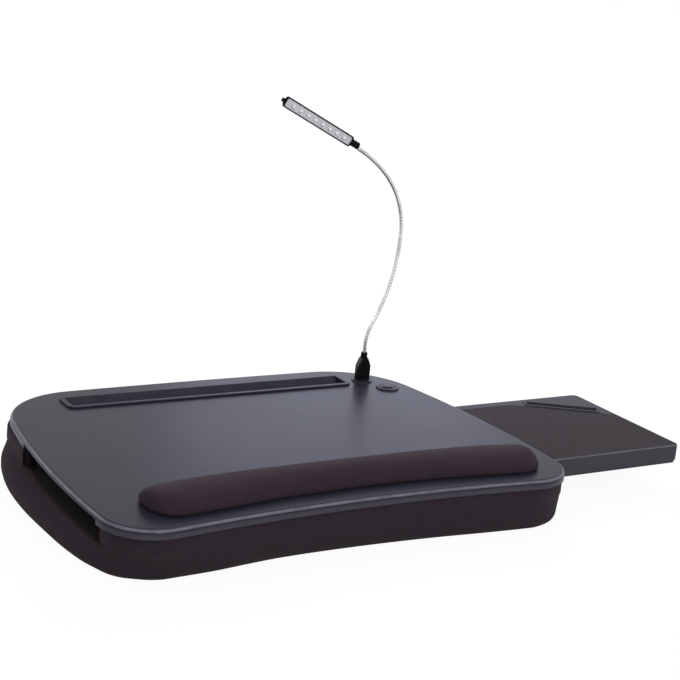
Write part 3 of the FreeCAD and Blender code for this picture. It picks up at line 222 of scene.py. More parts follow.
def makeWearAndPaintedLight(s):
    inputs = {"Smear": s["smear"]}
    tree, inside, outside = newGroup("wearAndPaintedLight", ["Vector", "Normal"], inputs, ["Edge", "Smear", "UprightShading"])
    apart = addNode(tree, "ShaderNodeSeparateXYZ")
    place = addNode(tree, "ShaderNodeSeparateXYZ")
    patches = addNode(tree, "ShaderNodeTexNoise", {"Scale": s["patchScale"], "Detail": s["patchDetail"]})
    smears = addNode(tree, "ShaderNodeTexNoise", {"Detail": s["smearDetail"], "Roughness": s["smearRough"]})
    smears.inputs["Distortion"].default_value = s["smearWarp"]
    wire(tree, inside.outputs["Normal"], apart.inputs[0])
    wire(tree, inside.outputs["Vector"], place.inputs[0])
    wire(tree, inside.outputs["Vector"], patches.inputs["Vector"])
    wire(tree, inside.outputs["Vector"], smears.inputs["Vector"])
    wire(tree, inside.outputs["Smear"], smears.inputs["Scale"])
    up = apart.outputs["Z"]
    # rim mask: where rims are rubbed, and also where the painted highlight goes
    rim = math2(tree, "MULTIPLY", span(tree, up, *s["rimFrom"]), span(tree, up, *s["rimTo"]))
    patchy = span(tree, patches.outputs["Fac"], *s["patchSpan"])
    # upright faces low on a piece: a painted tone for light and shade, not a colour of the plastic
    low = span(tree, place.outputs["Z"], *s["lipLevel"])
    uprightShading = math2(tree, "MULTIPLY", low, span(tree, up, *s["uprightSpan"]))
    wire(tree, math2(tree, "MULTIPLY", rim, patchy), outside.inputs["Edge"])
    wire(tree, span(tree, smears.outputs["Fac"], *s["smearSpan"]), outside.inputs["Smear"])
    wire(tree, uprightShading, outside.inputs["UprightShading"])
    return tree


mouldGrain = makeMouldGrain(grainLook)
clothWeave = makeClothWeave(weaveLook)
wearAndPaintedLight = makeWearAndPaintedLight(wearAndLightLook)


def startMaterial(name, **sockets):
    material = bpy.data.materials.new(name)
    material.use_nodes = True
    tree = material.node_tree
    tree.nodes.clear()
    out = tree.nodes.new("ShaderNodeOutputMaterial")
    surface = tree.nodes.new("ShaderNodeBsdfPrincipled")
    wire(tree, surface.outputs[0], out.inputs["Surface"])
    for key, value in sockets.items():
        surface.inputs[key.replace("_", " ")].default_value = value
    return material, tree, surface


def bumpInto(tree, surface, height, strength, distance):
    made = addNode(tree, "ShaderNodeBump", {"Strength": strength, "Distance": distance})
    wire(tree, height, made.inputs["Height"])
    wire(tree, made.outputs["Normal"], surface.inputs["Normal"])


# moulded plastic: grain, slow blotches, lighter rims that are partly rubbed and partly a painted highlight,
# smears in the gloss, and another tone on upright faces where one is given, a painted tone for light and
# shade
plasticLook = {"blotchDark": 0.94, "smearGloss": (0.96, 1.06), "rimGloss": -0.3, "bump": 0.35}


def mouldedPlastic(name, colour, rimWearAndHighlight, rough, grain=1800.0, relief=0.00008, specular=0.5, uprightShading=None):
    s = plasticLook
    material, tree, surface = startMaterial(name, Specular_IOR_Level=specular)
    place = addNode(tree, "ShaderNodeTexCoord")
    moulded = useGroup(tree, mouldGrain, {"Grain": grain}, place.outputs["Object"])
    wearAndLight = useGroup(tree, wearAndPaintedLight, {}, place.outputs["Object"])
    wire(tree, place.outputs["Normal"], wearAndLight["Edge"].node.inputs["Normal"])
    body = between(tree, moulded["Blotch"], dimmed(colour, s["blotchDark"]), colour)
    # upright faces below the lip take a painted tone for the light and shade on them
    if uprightShading:
        body = between(tree, wearAndLight["UprightShading"], body, uprightShading)
    # rims take a lighter colour: partly rubbed wear, partly a painted highlight
    wire(tree, between(tree, wearAndLight["Edge"], body, rimWearAndHighlight), surface.inputs["Base Color"])
    low, high = (rough * share for share in s["smearGloss"])
    smeared = span(tree, wearAndLight["Smear"], 0, 1, low, high, False)
    rubbedGloss = math2(tree, "MULTIPLY", wearAndLight["Edge"], s["rimGloss"] * rough)
    wire(tree, math2(tree, "ADD", smeared, rubbedGloss), surface.inputs["Roughness"])
    bumpInto(tree, surface, moulded["Height"], s["bump"], relief)
    return material


# woven cloth on the piece's own map: threads, fuzz, slubs, and a soft sheen
clothLook = {
    "specular": 0.04, "sheenRough": 0.55, "tintTimes": 3, "tintPlus": 0.25, "fuzzEach": 0.45,
    "threadShare": 0.84, "slubShare": 0.16, "bump": 0.5,
    "fuzzSpan": (0.2, 0.8), "roughLess": 0.08, "roughMore": 0.06,
}


def wovenCloth(name, deep, light, threads, rough=0.92, sheen=0.12, relief=0.0003):
    s = clothLook
    material, tree, surface = startMaterial(
        name, Specular_IOR_Level=s["specular"], Sheen_Weight=sheen, Sheen_Roughness=s["sheenRough"])
    tint = tuple(min(1.0, c * s["tintTimes"] + s["tintPlus"]) for c in light[:3])
    surface.inputs["Sheen Tint"].default_value = (*tint, 1.0)
    place = addNode(tree, "ShaderNodeUVMap", uv_map="weaveMap")
    counts = {"Threads": threads, "Fuzz": threads * s["fuzzEach"]}
    cloth = useGroup(tree, clothWeave, counts, place.outputs["UV"])
    lightness = weighted(tree, cloth["Height"], s["threadShare"], cloth["Slub"], s["slubShare"])
    wire(tree, between(tree, lightness, deep, light), surface.inputs["Base Color"])
    fuzzy = span(tree, cloth["Fuzz"], *s["fuzzSpan"], rough - s["roughLess"], rough + s["roughMore"], False)
    wire(tree, fuzzy, surface.inputs["Roughness"])
    bumpInto(tree, surface, cloth["Height"], s["bump"], relief)
    return material


# metal: fine brushing along the piece, darker where it is touched
metalLook = {
    "lineDetail": 3.0, "lineSpan": (0.25, 0.75), "roughShares": (0.75, 1.35),
    "smear": 60.0, "dull": 0.72, "bump": 0.3,
}


def brightMetal(name, colour, rough, stretch=(900.0, 900.0, 60.0), relief=0.00003):
    s = metalLook
    material, tree, surface = startMaterial(name, Metallic=1.0)
    place = addNode(tree, "ShaderNodeTexCoord")
    lengthways = addNode(tree, "ShaderNodeMapping", {"Scale": stretch})
    wire(tree, place.outputs["Object"], lengthways.inputs["Vector"])
    lines = addNode(tree, "ShaderNodeTexNoise", {"Scale": 1.0, "Detail": s["lineDetail"]})
    wire(tree, lengthways.outputs["Vector"], lines.inputs["Vector"])
    wearAndLight = useGroup(tree, wearAndPaintedLight, {"Smear": s["smear"]}, place.outputs["Object"])
    wire(tree, place.outputs["Normal"], wearAndLight["Edge"].node.inputs["Normal"])
    wire(tree, between(tree, wearAndLight["Smear"], colour, dimmed(colour, s["dull"])), surface.inputs["Base Color"])
    low, high = (rough * share for share in s["roughShares"])
    brushed = span(tree, lines.outputs["Fac"], *s["lineSpan"], low, high, False)
    wire(tree, brushed, surface.inputs["Roughness"])
    bumpInto(tree, surface, lines.outputs["Fac"], s["bump"], relief)
    return material


# each plastic: colour, rim colour that is rubbed and also a painted highlight, roughness, grain, relief,
# specular, and for some a painted tone for upright faces; each cloth: deep and light threads, threads in a
# metre, roughness, sheen, relief;
# each metal: colour, roughness, stretch of the lines, relief
finishes = {
    # deck: its light rim colour is a painted highlight along the lip's roll, and its upright tone paints the
    # light on the lip's front face
    "deck": mouldedPlastic("deckPlastic", shade(46, 46, 59), shade(122, 121, 133), 0.3, 850.0, 0.0001, 0.062,
                           uprightShading=shade(70, 68, 77)),
    # slide: its light rim colour is a painted highlight along the rim's top edges
    "slide": mouldedPlastic("slidePlastic", shade(69, 68, 76), shade(118, 116, 126), 0.6, 1500.0,
                            specular=0.06),
    # inner parts: lighter and more purple than their dark plastic, painted light standing in for light
    # reaching in through the openings
    "inner": mouldedPlastic("innerPlastic", shade(50, 44, 49), shade(62, 56, 61), 0.6, 1200.0, specular=0.06),
    "ring": mouldedPlastic("ringPlastic", shade(38, 37, 45), shade(60, 59, 68), 0.34, 1500.0, specular=0.055),
    "button": mouldedPlastic("buttonPlastic", shade(38, 37, 44), shade(60, 59, 66), 0.32, 1500.0,
                             specular=0.065),
    # slot tray: its upright tone is painted light and shade on the trough's walls
    "slot": mouldedPlastic("slotPlastic", shade(46, 46, 59), shade(62, 61, 72), 0.35, 850.0, 0.0001, 0.062,
                           uprightShading=shade(52, 50, 60)),
    "gloss": mouldedPlastic("glossBlack", shade(15, 15, 17), shade(34, 34, 37), 0.26, 900.0, 0.00002, 0.25),
    "matte": mouldedPlastic("matteBlack", shade(13, 13, 14), shade(20, 20, 22), 0.6, 900.0, 0.00002, 0.03),
    "rubber": mouldedPlastic("softRubber", shade(18, 18, 19), shade(32, 32, 33), 0.6, 700.0, 0.0001, 0.08),
    "white": mouldedPlastic("whitePlastic", shade(214, 213, 210), shade(228, 228, 226), 0.4),
    "lightBoard": mouldedPlastic("lightBoard", shade(214, 214, 222), shade(228, 228, 235), 0.45, 700.0),
    "rest": wovenCloth("restFabric", shade(44, 35, 42), shade(61, 50, 58), 1100.0),
    "cushion": wovenCloth("cushionFabric", shade(41, 34, 40), shade(56, 48, 55), 900.0),
    "pad": wovenCloth("padFabric", shade(44, 40, 44), shade(61, 57, 61), 1000.0, 0.85, 0.05, 0.00015),
    "steel": brightMetal("screwSteel", shade(188, 188, 190), 0.3),
    "nickel": brightMetal("neckNickel", shade(212, 212, 215), 0.2, (400.0, 400.0, 400.0), 0.000008),
    "cell": brightMetal("cellSleeve", shade(150, 150, 156), 0.35),
}


# solder mask over copper tracks, which show as slightly raised lines
maskLook = {
    "tracks": {"Scale": 260.0, "Mortar Size": 0.03, "Color1": shade(18, 84, 48), "Color2": shade(14, 70, 40),
               "Mortar": shade(36, 118, 66)},
    "specular": 0.5, "rough": (0.35, 0.22), "bump": 0.4, "relief": 0.00005,
}


def solderMask(s):
    material, tree, surface = startMaterial("circuitGreen", Specular_IOR_Level=s["specular"])
    place = addNode(tree, "ShaderNodeTexCoord")
    tracks = addNode(tree, "ShaderNodeTexBrick", s["tracks"])
    wire(tree, place.outputs["Object"], tracks.inputs["Vector"])
    wire(tree, tracks.outputs["Color"], surface.inputs["Base Color"])
    wire(tree, span(tree, tracks.outputs["Fac"], 0, 1, *s["rough"], False), surface.inputs["Roughness"])
    bumpInto(tree, surface, tracks.outputs["Fac"], s["bump"], s["relief"])
    return material


# milky lens: clear coat over a pale, slightly clouded core
lensLook = {
    "coat": 0.6, "coatRough": 0.05, "cloud": {"Grain": 700.0, "Blotch": 240.0},
    "core": (shade(238, 238, 236), shade(252, 252, 252)), "heightSpan": (0.2, 0.8), "rough": (0.1, 0.2),
}


def milkyLens(s):
    material, tree, surface = startMaterial("lensClear", Coat_Weight=s["coat"], Coat_Roughness=s["coatRough"])
    place = addNode(tree, "ShaderNodeTexCoord")
    cloud = useGroup(tree, mouldGrain, s["cloud"], place.outputs["Object"])
    wire(tree, between(tree, cloud["Blotch"], *s["core"]), surface.inputs["Base Color"])
    wire(tree, span(tree, cloud["Height"], *s["heightSpan"], *s["rough"], False), surface.inputs["Roughness"])
    return material


finishes["board"], finishes["lens"] = solderMask(maskLook), milkyLens(lensLook)
dressed = {
    "deck": "top_deck",
    "slot": "rear_slot_tray",
    "ring": "usb_bezel switch_bezel",
    "slide": "mouse_deck_top mouse_deck_bottom corner_slot_right corner_slot_left",
    "inner": "base_pan front_guide_rail rear_guide_rail battery_box battery_door switch_body",
    "gloss": "plug_body",
    "matte": "head_shell",
    "button": "power_button",
    "rubber": "strain_relief head_collar battery_leads",
    "white": "usb_tongue plug_insert switch_plunger",
    "steel": "deck_screws rail_screws mouse_deck_screws board_screws battery_contacts "
             "usb_receptacle plug_shell",
    "board": "circuit_board",
    "lightBoard": "led_board",
    "lens": "leds",
    "cell": "batteries",
}
for finish, names in dressed.items():
    for name in names.split():
        cad[name].data.materials.clear()
        cad[name].data.materials.append(finishes[finish])
print("finishes made:", len(finishes))


# small tools for surfaces
def gridFaces(index):
    # quads between the rows and columns of an array of point numbers
    return np.stack([index[:-1, :-1], index[:-1, 1:], index[1:, 1:], index[1:, :-1]], -1).reshape(-1, 4)


def closeRound(index):
    # the first column again after the last
    return np.concatenate([index, index[:, :1]], 1)


def smoothCurve(x, xs, ys):
    # cubic through the points, with the slope at each from its neighbours
    xs, ys = np.asarray(xs, float), np.asarray(ys, float)
    slope = np.gradient(ys, xs)
    i = np.clip(np.searchsorted(xs, x, side="right") - 1, 0, len(xs) - 2)
    h = xs[i + 1] - xs[i]
    t = np.clip((x - xs[i]) / h, 0, 1)
    return ((2 * t**3 - 3 * t**2 + 1) * ys[i] + (t**3 - 2 * t**2 + t) * h * slope[i]
            + (3 * t**2 - 2 * t**3) * ys[i + 1] + (t**3 - t**2) * h * slope[i + 1])


def smoothStep(low, high, x):
    # cubic from 0 at low to 1 at high, level at both
    t = np.clip((x - low) / (high - low), 0, 1)
    return t * t * (3 - 2 * t)


def makePiece(name, points, faces, finish, weave=None):
    # points in millimetres; weave gives each point's place on the cloth, in metres
    mesh = bpy.data.meshes.new(name)
    mesh.from_pydata((points * mm).tolist(), [], [f.tolist() for f in faces])
    mesh.validate()
    if weave is not None:
        mapWeave(mesh, weave)
    mesh.polygons.foreach_set("use_smooth", np.ones(len(mesh.polygons), bool))
    piece = bpy.data.objects.new(name, mesh)
    scene.collection.objects.link(piece)
    mesh.materials.append(finishes[finish])
    return piece


def mapWeave(mesh, weave):
    # each face corner takes its point's place on the cloth
    corners = np.empty(len(mesh.loops), np.int32)
    mesh.loops.foreach_get("vertex_index", corners)
    layer = mesh.uv_layers.new(name="weaveMap")
    layer.data.foreach_set("uv", weave[corners].astype(np.float32).ravel())


def pointsOf(mesh):
    found = np.empty(len(mesh.vertices) * 3)
    mesh.vertices.foreach_get("co", found)
    return found.reshape(-1, 3)


def putPoints(mesh, points):
    mesh.vertices.foreach_set("co", points.ravel())
    mesh.update()


def addSubdivision(piece, levels=1):
    made = piece.modifiers.new("subdivision", "SUBSURF")
    made.levels = made.render_levels = levels


# fills a cloth skin with air: pressure from inside, no weight, some points held;
# each point's move is kept within its limit
def fillSkin(piece, held, limit, s):
    start = pointsOf(piece.data)
    group = piece.vertex_groups.new(name="held")
    group.add(np.flatnonzero(held).tolist(), 1.0, "REPLACE")
    cloth = piece.modifiers.new("fill", "CLOTH")
    c = cloth.settings
    c.quality, c.mass = s["quality"], s["mass"]
    c.tension_stiffness = c.compression_stiffness = s["tension"]
    c.shear_stiffness, c.bending_stiffness = s["shear"], s["bending"]
    c.use_pressure, c.uniform_pressure_force = True, s["pressure"]
    c.vertex_group_mass = "held"
    c.effector_weights.gravity = 0
    cloth.collision_settings.use_collision = False
    cloth.point_cache.frame_start, cloth.point_cache.frame_end = 1, s["frames"]
    for step in range(1, s["frames"] + 1):
        scene.frame_set(step)
    filled = piece.evaluated_get(bpy.context.evaluated_depsgraph_get())
    end = pointsOf(filled.data)
    piece.modifiers.remove(cloth)
    piece.vertex_groups.remove(group)
    scene.frame_set(1)
    move = end - start
    far = np.maximum(np.linalg.norm(move, axis=1, keepdims=True), 1e-9)  # never divides by nothing
    reach = np.minimum(far, limit.reshape(-1, 1) * mm)
    most, kept = (round(float(length.max()) / mm, 1) for length in (far, reach))
    print(piece.name, "filled: up to", most, "mm, kept to", kept)
    return start + move / far * reach


# outline of the tray from above: eight tangent arcs, from the front's left end through right, rear and left
tray = {
    "frontMid": 175.7, "frontRadius": 1600.0, "frontCorner": 48.0,
    "sideHalf": 245.0, "sidePeak": 70.0, "sideRadius": 1150.0,
    "rearCorner": 88.0, "rearMid": 188.0, "rearRadius": 6000.0,
    "openingFront": 0.0188, "openingRear": 0.776, "openingEdge": 0.006,  # shares of the flank's arc
    "frontColumns": 96, "noseColumns": 22, "shoulderColumns": 30, "rearColumns": 72,
    "openingColumns": 46, "flankColumns": 12,  # in the opening, and behind it
    "arcs": 8, "rightFlank": 2, "leftFlank": 6,
}


def circlesMeet(a, reachA, b, reachB):
    # of the two points at those distances from a and b, the one further right
    apart = b - a
    length = np.hypot(*apart)
    ahead = apart / length
    along = (reachA**2 - reachB**2 + length**2) / (2 * length)
    across = math.sqrt(reachA**2 - along**2) * np.array([-ahead[1], ahead[0]])
    return max(a + ahead * along + across, a + ahead * along - across, key=lambda p: p[0])


def bearing(a, b):
    return math.atan2(b[1] - a[1], b[0] - a[0])


def evenShares(count):
    # shares of an arc from its start, without its end, which starts the next arc
    return np.linspace(0, 1, count + 1)[:-1]


# columns round the outline as (arc, share of it), closer together at the ends of the openings
def trayColumns(s):
    front, rear, edge = s["openingFront"], s["openingRear"], s["openingEdge"]
    opened = np.linspace(front + edge, rear - edge, s["openingColumns"])
    behind = np.linspace(rear + 3 * edge, 1, s["flankColumns"] + 1)[:-1]
    flank = np.concatenate([[0.0, front - edge, front], opened, [rear, rear + edge], behind])
    flankBack = np.concatenate([[0.0], (1 - flank[1:])[::-1]])
    nose, shoulder = evenShares(s["noseColumns"]), evenShares(s["shoulderColumns"])
    shares = [evenShares(s["frontColumns"]), nose, flank, shoulder,
              evenShares(s["rearColumns"]), shoulder, flankBack, nose]
    arcs = np.concatenate([np.full(len(share), number) for number, share in enumerate(shares)])
    along = np.concatenate(shares)
    flankShare = np.where(arcs == s["rightFlank"], along, np.where(arcs == s["leftFlank"], 1 - along, -1))
    opening = (flankShare > front - 1e-6) & (flankShare < rear + 1e-6)
    ends = opening & (np.isclose(flankShare, front) | np.isclose(flankShare, rear))
    return arcs, along, opening, ends


# loop round the tray, drawn in by an inset: a point is its arc's centre plus the radius times the cosine
# and sine of an angle that runs evenly from the arc's start to its end
def trayLoop(s, columns, inset):
    frontRound, noseRound = s["frontRadius"] + inset, s["frontCorner"] - inset
    flankRound, shoulderRound = s["sideRadius"] - inset, s["rearCorner"] - inset
    rearRound = s["rearRadius"] - inset
    ahead = np.array([0, -s["frontMid"] - s["frontRadius"]])
    flank = np.array([s["sideHalf"] - s["sideRadius"], -s["sidePeak"]])
    behind = np.array([0, s["rearMid"] - s["rearRadius"]])
    nose = circlesMeet(ahead, frontRound + noseRound, flank, flankRound - noseRound)
    shoulder = circlesMeet(flank, flankRound - shoulderRound, behind, rearRound - shoulderRound)
    dip = bearing(ahead, nose)
    turns = [bearing(nose, ahead), bearing(flank, nose), bearing(flank, shoulder), bearing(behind, shoulder)]
    right = [(nose, noseRound, turns[0], turns[1]), (flank, flankRound, turns[1], turns[2]),
             (shoulder, shoulderRound, turns[2], turns[3])]
    left = [(c * (-1, 1), r, math.pi - b, math.pi - a) for c, r, a, b in reversed(right)]
    arcs = [(ahead, frontRound, math.pi - dip, dip), *right,
            (behind, rearRound, turns[3], math.pi - turns[3]), *left]
    centre = np.array([a[0] for a in arcs])[columns[0]]
    radius, first, last = (np.array([a[i] for a in arcs])[columns[0]] for i in (1, 2, 3))
    angle = first + (last - first) * columns[1]
    return centre + radius[:, None] * np.stack([np.cos(angle), np.sin(angle)], 1)


# cushion with the fabric walls that go on up from it to the deck's skirt: rows of one section, each a loop
# round the tray that stands in or out from the outline
cushion = {
    "height": 21.2, "wallIn": 3.3, "wallThick": 2.8, "wallTop": 46.0,
    "belly": 10.0, "shoulder": 28.0, "hem": (40.8, 43.2),  # levels
    "bay": (168.0, 95.0, 31.3, 24.3),  # middle and half sizes of the battery well
    # in arcs round the outline from the front's left end: stand of the belly, round of the foot, and stand
    # of the wall
    "section": (
        (0, -8.9, 7, -4), (0.1, -6.1, 7, -4), (0.3, -7.2, 7, -4), (0.5, -6.0, 6, -4), (0.7, -3.5, 6, -4),
        (0.85, -1.8, 6, -4), (1, -3.2, 6, -3.8), (1.25, -4.0, 7, -3), (1.5, -2.5, 8, -1.5),
        (1.75, -2.0, 8, -1), (2, -0.6, 7, -2), (2.1, 4.2, 5, -3), (2.2, 6.5, 4, -3), (2.4, 10, 4, -2.5),
        (2.6, 13.3, 4, -2), (2.8, 14, 4, 1), (3, 10.2, 4, 2.6), (3.25, 6.7, 4, 3), (3.5, 6, 4.5, 2),
        (4, 4, 5, -1), (4.5, 3, 5, -2), (5, 4, 5, -1), (5.5, 6, 4.5, 2), (5.75, 6.7, 4, 3),
        (6, 10.2, 4, 2.6), (6.2, 14, 4, 1), (6.4, 13.3, 4, -2), (6.6, 10, 4.2, -2.5), (6.8, 6.5, 4.8, -3),
        (6.9, 3.7, 5.6, -3.6), (7, -1.8, 6.8, -4), (7.25, -5.4, 8, -4.2), (7.5, -8.4, 9, -4.4),
        (7.75, -9.4, 8, -4.4), (8, -8.9, 7, -4),
    ),
    "slack": 1.6, "wallSlack": 0.5, "reach": 2.4, "wallReach": 1.2, "easeTo": 3.0,  # eased in above the floor
    # rows from the well out over the sole, up the side, up the wall, over its hem, down inside, in over the
    # top to the well again, and down the well
    "soleShares": (0, 0.12, 0.3, 0.5, 0.68, 0.82, 0.91, 0.96),
    "sideLevels": (0.0, 0.6, 1.5, 2.8, 4.4, 6.4, 9.0, 11.6, 14.2, 16.8, 19.4),
    # rows at the wall's foot: level there, and in the openings the stand, rise and reach of the crown
    "crown": ((24.2, -0.9, 2.7, 1.2), (25.3, -3.6, 3.7, 1.0), (26.4, -8.5, 3.1, 0.3)),
    "wallLevels": (29.0, 32.0, 35.0, 38.0, 40.5), "hemLevels": (42.0, 43.2),
    "innerLevels": (42.0, 37.0, 32.0, 27.0),
    "seatShares": (0, 0.06, 0.16, 0.32, 0.52, 0.75, 1.0), "seatIn": 0.1, "seatDown": 0.05,
    "wellLevels": (16.0, 8.0, 2.5),
    "fill": {"quality": 6, "mass": 0.3, "tension": 22.0, "shear": 6.0, "bending": 1.2, "pressure": 4.0,
             "frames": 20},
}


def makeCushion(s):
    columns = trayColumns(tray)
    opening, ends = columns[2], columns[3]
    inside = opening & ~ends
    count = len(opening)
    high = s["height"]
    outline = trayLoop(tray, columns, 0)
    outward = trayLoop(tray, columns, -1) - outline
    table = np.array(s["section"]).T
    around = np.concatenate([[0], np.cumsum(np.linalg.norm(np.diff(outline, axis=0), axis=1))])
    closing = around[-1] + np.linalg.norm(outline[0] - outline[-1])
    spots = np.interp(table[0], [*(columns[0] + columns[1]), tray["arcs"]], [*around, closing])
    belly, foot, stand = (smoothCurve(around, spots, row)[:, None] for row in table[1:])

    # the section: a round foot, the belly, a smooth step in to the wall, and the hem behind the deck's skirt
    def side(z, slack):
        drawn = foot - np.sqrt(foot**2 - np.maximum(foot - z, 0) ** 2)
        out = stand + (belly - stand) * (1 - smoothStep(s["belly"], s["shoulder"], z)) - drawn
        hem = smoothStep(*s["hem"], z)
        return outline + outward * ((out - slack) * (1 - hem) - s["wallIn"] * hem)

    def level(loop, z):
        return np.concatenate([loop, np.full((count, 1), float(z))], 1)

    middle, half = np.array(s["bay"][:2]), np.array(s["bay"][2:])
    sole = side(0, 0)
    ray = sole - middle
    well = middle + ray * np.min(half / np.maximum(np.abs(ray), 1e-6), axis=1, keepdims=True)
    rows, held, limits = [], [], []

    def addRow(loop, z, pinned, reach):
        rows.append(level(loop, z))
        held.append(np.broadcast_to(pinned, count))
        limits.append(np.broadcast_to(reach, count))

    for share in s["soleShares"]:
        addRow(well + (sole - well) * share, 0, True, 0)
    for z in (*s["sideLevels"], high):
        ease = min(1, z / s["easeTo"])
        addRow(side(z, s["slack"] * ease), z, z == 0, s["reach"] * ease)
    # crown of the cushion in the openings, the wall's foot elsewhere
    for z, out, rise, reach in s["crown"]:
        crown = level(outline + outward * out, high + rise)
        rows.append(np.where(inside[:, None], crown, level(side(z, s["slack"]), z)))
        held.append(np.zeros(count, bool))
        limits.append(np.where(inside, reach, s["wallReach"]))
    lower = len(rows)
    for z in s["wallLevels"]:
        addRow(side(z, s["wallSlack"]), z, False, s["wallReach"])
    for z in (*s["hemLevels"], s["wallTop"]):
        addRow(side(z, 0), z, True, 0)
    inner = outline - outward * (s["wallIn"] + s["wallThick"])
    for z in (s["wallTop"], *s["innerLevels"]):
        addRow(inner, z, True, 0)
    upper = len(rows)
    seat = outline - outward * (s["wallIn"] + s["wallThick"] + s["seatIn"])
    for share in s["seatShares"]:
        addRow(seat + (well - seat) * share, high - s["seatDown"], True, 0)
    for z in s["wellLevels"]:
        addRow(well, z, True, 0)
    points = np.stack(rows)
    number = np.arange(len(rows) * count).reshape(len(rows), count)
    loopNumber = closeRound(number)
    below = gridFaces(loopNumber[:lower])
    above = gridFaces(np.concatenate([loopNumber[upper:], loopNumber[:1]]))
    # a strip between two columns is wall only where both are, and otherwise goes straight in over the cushion
    gap = opening & np.roll(opening, -1)
    wallFaces = gridFaces(loopNumber[lower - 1:upper + 1]).reshape(-1, count, 4)[:, ~gap].reshape(-1, 4)
    gapFaces = gridFaces(loopNumber[[lower - 1, upper]]).reshape(count, 4)[gap]
    # end of a wall beside an opening: outer rows joined across to inner rows
    endFaces = []
    for column in np.flatnonzero(ends):
        rim = number[lower - 1:upper + 1, column]
        if not gap[column]:
            rim = rim[::-1]
        halfway = len(rim) // 2
        outer, across = rim[:halfway], rim[::-1][:halfway]
        endFaces.append(np.stack([outer[:-1], outer[1:], across[1:], across[:-1]], 1))
    faces = np.concatenate([below, above, wallFaces, gapFaces, *endFaces])
    used = np.unique(faces)
    renumber = np.full(number.size, -1)
    renumber[used] = np.arange(len(used))
    # place on the cloth: length along the outline, and up the section
    step = np.linalg.norm(np.diff(points, axis=0, prepend=points[:1]), axis=2)
    upward = np.cumsum(step, 0)
    weave = np.stack([np.broadcast_to(around, upward.shape), upward], -1).reshape(-1, 2)[used] * mm
    piece = makePiece("cushion", points.reshape(-1, 3)[used], renumber[faces], "cushion", weave)
    filled = fillSkin(piece, np.stack(held).ravel()[used], np.stack(limits).ravel()[used], s["fill"])
    filled[:, 2] = np.maximum(filled[:, 2], 0)
    putPoints(piece.data, filled)
    addSubdivision(piece)
    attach(piece, "tray")
    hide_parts("cushion_cover", "cushion_foam", "front_wall_cover", "rear_wall_cover")
    print("cushion:", len(piece.data.polygons), "faces")


makeCushion(cushion)


# wrist rest: a loaf section, edge arcs upright at the foot and a crown arc over them, carried along the
# front; each end closes as a superellipse in plan and in rise
wristRest = {
    "half": 209.5, "shift": 7.4, "front": 168.5, "depth": 67.5, "rise": 17.0, "edge": 9.0,
    "foot": 52.0, "gap": 0.05,  # level of the deck, and room over it
    "along": (0, 0.4, 0.76, 0.88, 1.0), "frontShare": (0.914, 0.935, 0.988, 1.0, 0.995),
    "depthShare": (0.859, 0.904, 1.0, 0.985, 0.95),
    "nose": 32.0, "noseRise": 14.0, "power": 2.4, "endGap": 0.3,
    "columns": 123, "evenly": 0.55, "crowded": 0.45, "arcPoints": 13,
    "slack": 1.2, "quickSlack": 0.2, "edgeSlack": 0.5, "reach": 2.6, "heldTo": 0.1,
    "tuck": (3.0, 4.5),  # how far the foot is drawn in under the roll, and up to which height
    "weaveDown": 20.0, "weaveRadius": 37.0,  # axis that the cloth is measured round
    "fill": {"quality": 6, "mass": 0.3, "tension": 16.0, "shear": 5.0, "bending": 0.8, "pressure": 4.0,
             "frames": 20},
}


def makeWristRest(s):
    even = np.linspace(-1, 1, s["columns"])
    along = s["evenly"] * even + s["crowded"] * np.sin(even * math.pi / 2)  # closer towards the ends
    along = along * (1 - s["endGap"] / s["half"])
    near = smoothCurve(np.abs(along), s["along"], s["frontShare"]) * s["front"]
    depth = smoothCurve(np.abs(along), s["along"], s["depthShare"]) * s["depth"]
    left = (1 - np.abs(along)) * s["half"]
    plan, climb = ((1 - np.maximum(1 - left / s[key], 0) ** s["power"]) ** (1 / s["power"])
                   for key in ("nose", "noseRise"))
    near, depth, rise = near - (1 - plan) * depth / 2, depth * plan, s["rise"] * climb
    edge = s["edge"] * rise / s["rise"]
    # starts slightly smaller than it fills to
    slack = s["slack"]
    near, depth = slack * plan - near, depth - 2 * slack * plan
    rise, edge = rise - slack * climb, edge - slack * s["edgeSlack"] * climb
    crown = ((depth / 2 - edge) ** 2 + rise**2 - edge**2) / (2 * (rise - edge))
    turn = np.arctan2(crown - rise, depth / 2 - edge)
    turn, near, depth, rise, edge, crown = (a[:, None] for a in (turn, near, depth, rise, edge, crown))
    t = np.linspace(0, 1, s["arcPoints"])[None]
    first = math.pi - turn * t
    over = math.pi - turn - (math.pi - 2 * turn) * t[:, 1:]
    last = turn - turn * t[:, 1:]
    y = np.concatenate([near + edge + edge * np.cos(first), near + depth / 2 + crown * np.cos(over),
                        near + depth - edge + edge * np.cos(last)], 1)
    z = np.concatenate([edge * np.sin(first), rise - crown + crown * np.sin(over), edge * np.sin(last)], 1)
    x = np.broadcast_to((along * (s["half"] - slack) + s["shift"])[:, None], y.shape)
    points = np.stack([x, y, z + s["foot"] + s["gap"]], -1)
    number = np.arange(y.size).reshape(y.shape)
    faces = [*gridFaces(closeRound(number))[:, ::-1], number[0], number[-1][::-1]]
    piece = makePiece("wristRest", points.reshape(-1, 3), faces, "rest")
    base = (s["foot"] + s["gap"]) * mm
    start = pointsOf(piece.data)
    held = start[:, 2] < base + s["heldTo"] * mm
    filled = fillSkin(piece, held, np.full(len(start), s["reach"]), s["fill"])
    filled[:, 2] = np.maximum(filled[:, 2], base)
    putPoints(piece.data, filled)
    tuckFoot(piece, s)
    wrapWeave(piece, s)
    addSubdivision(piece)
    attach(piece, "tray")
    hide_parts("wrist_rest_cover", "wrist_rest_foam")
    print("wrist rest:", len(piece.data.polygons), "faces")


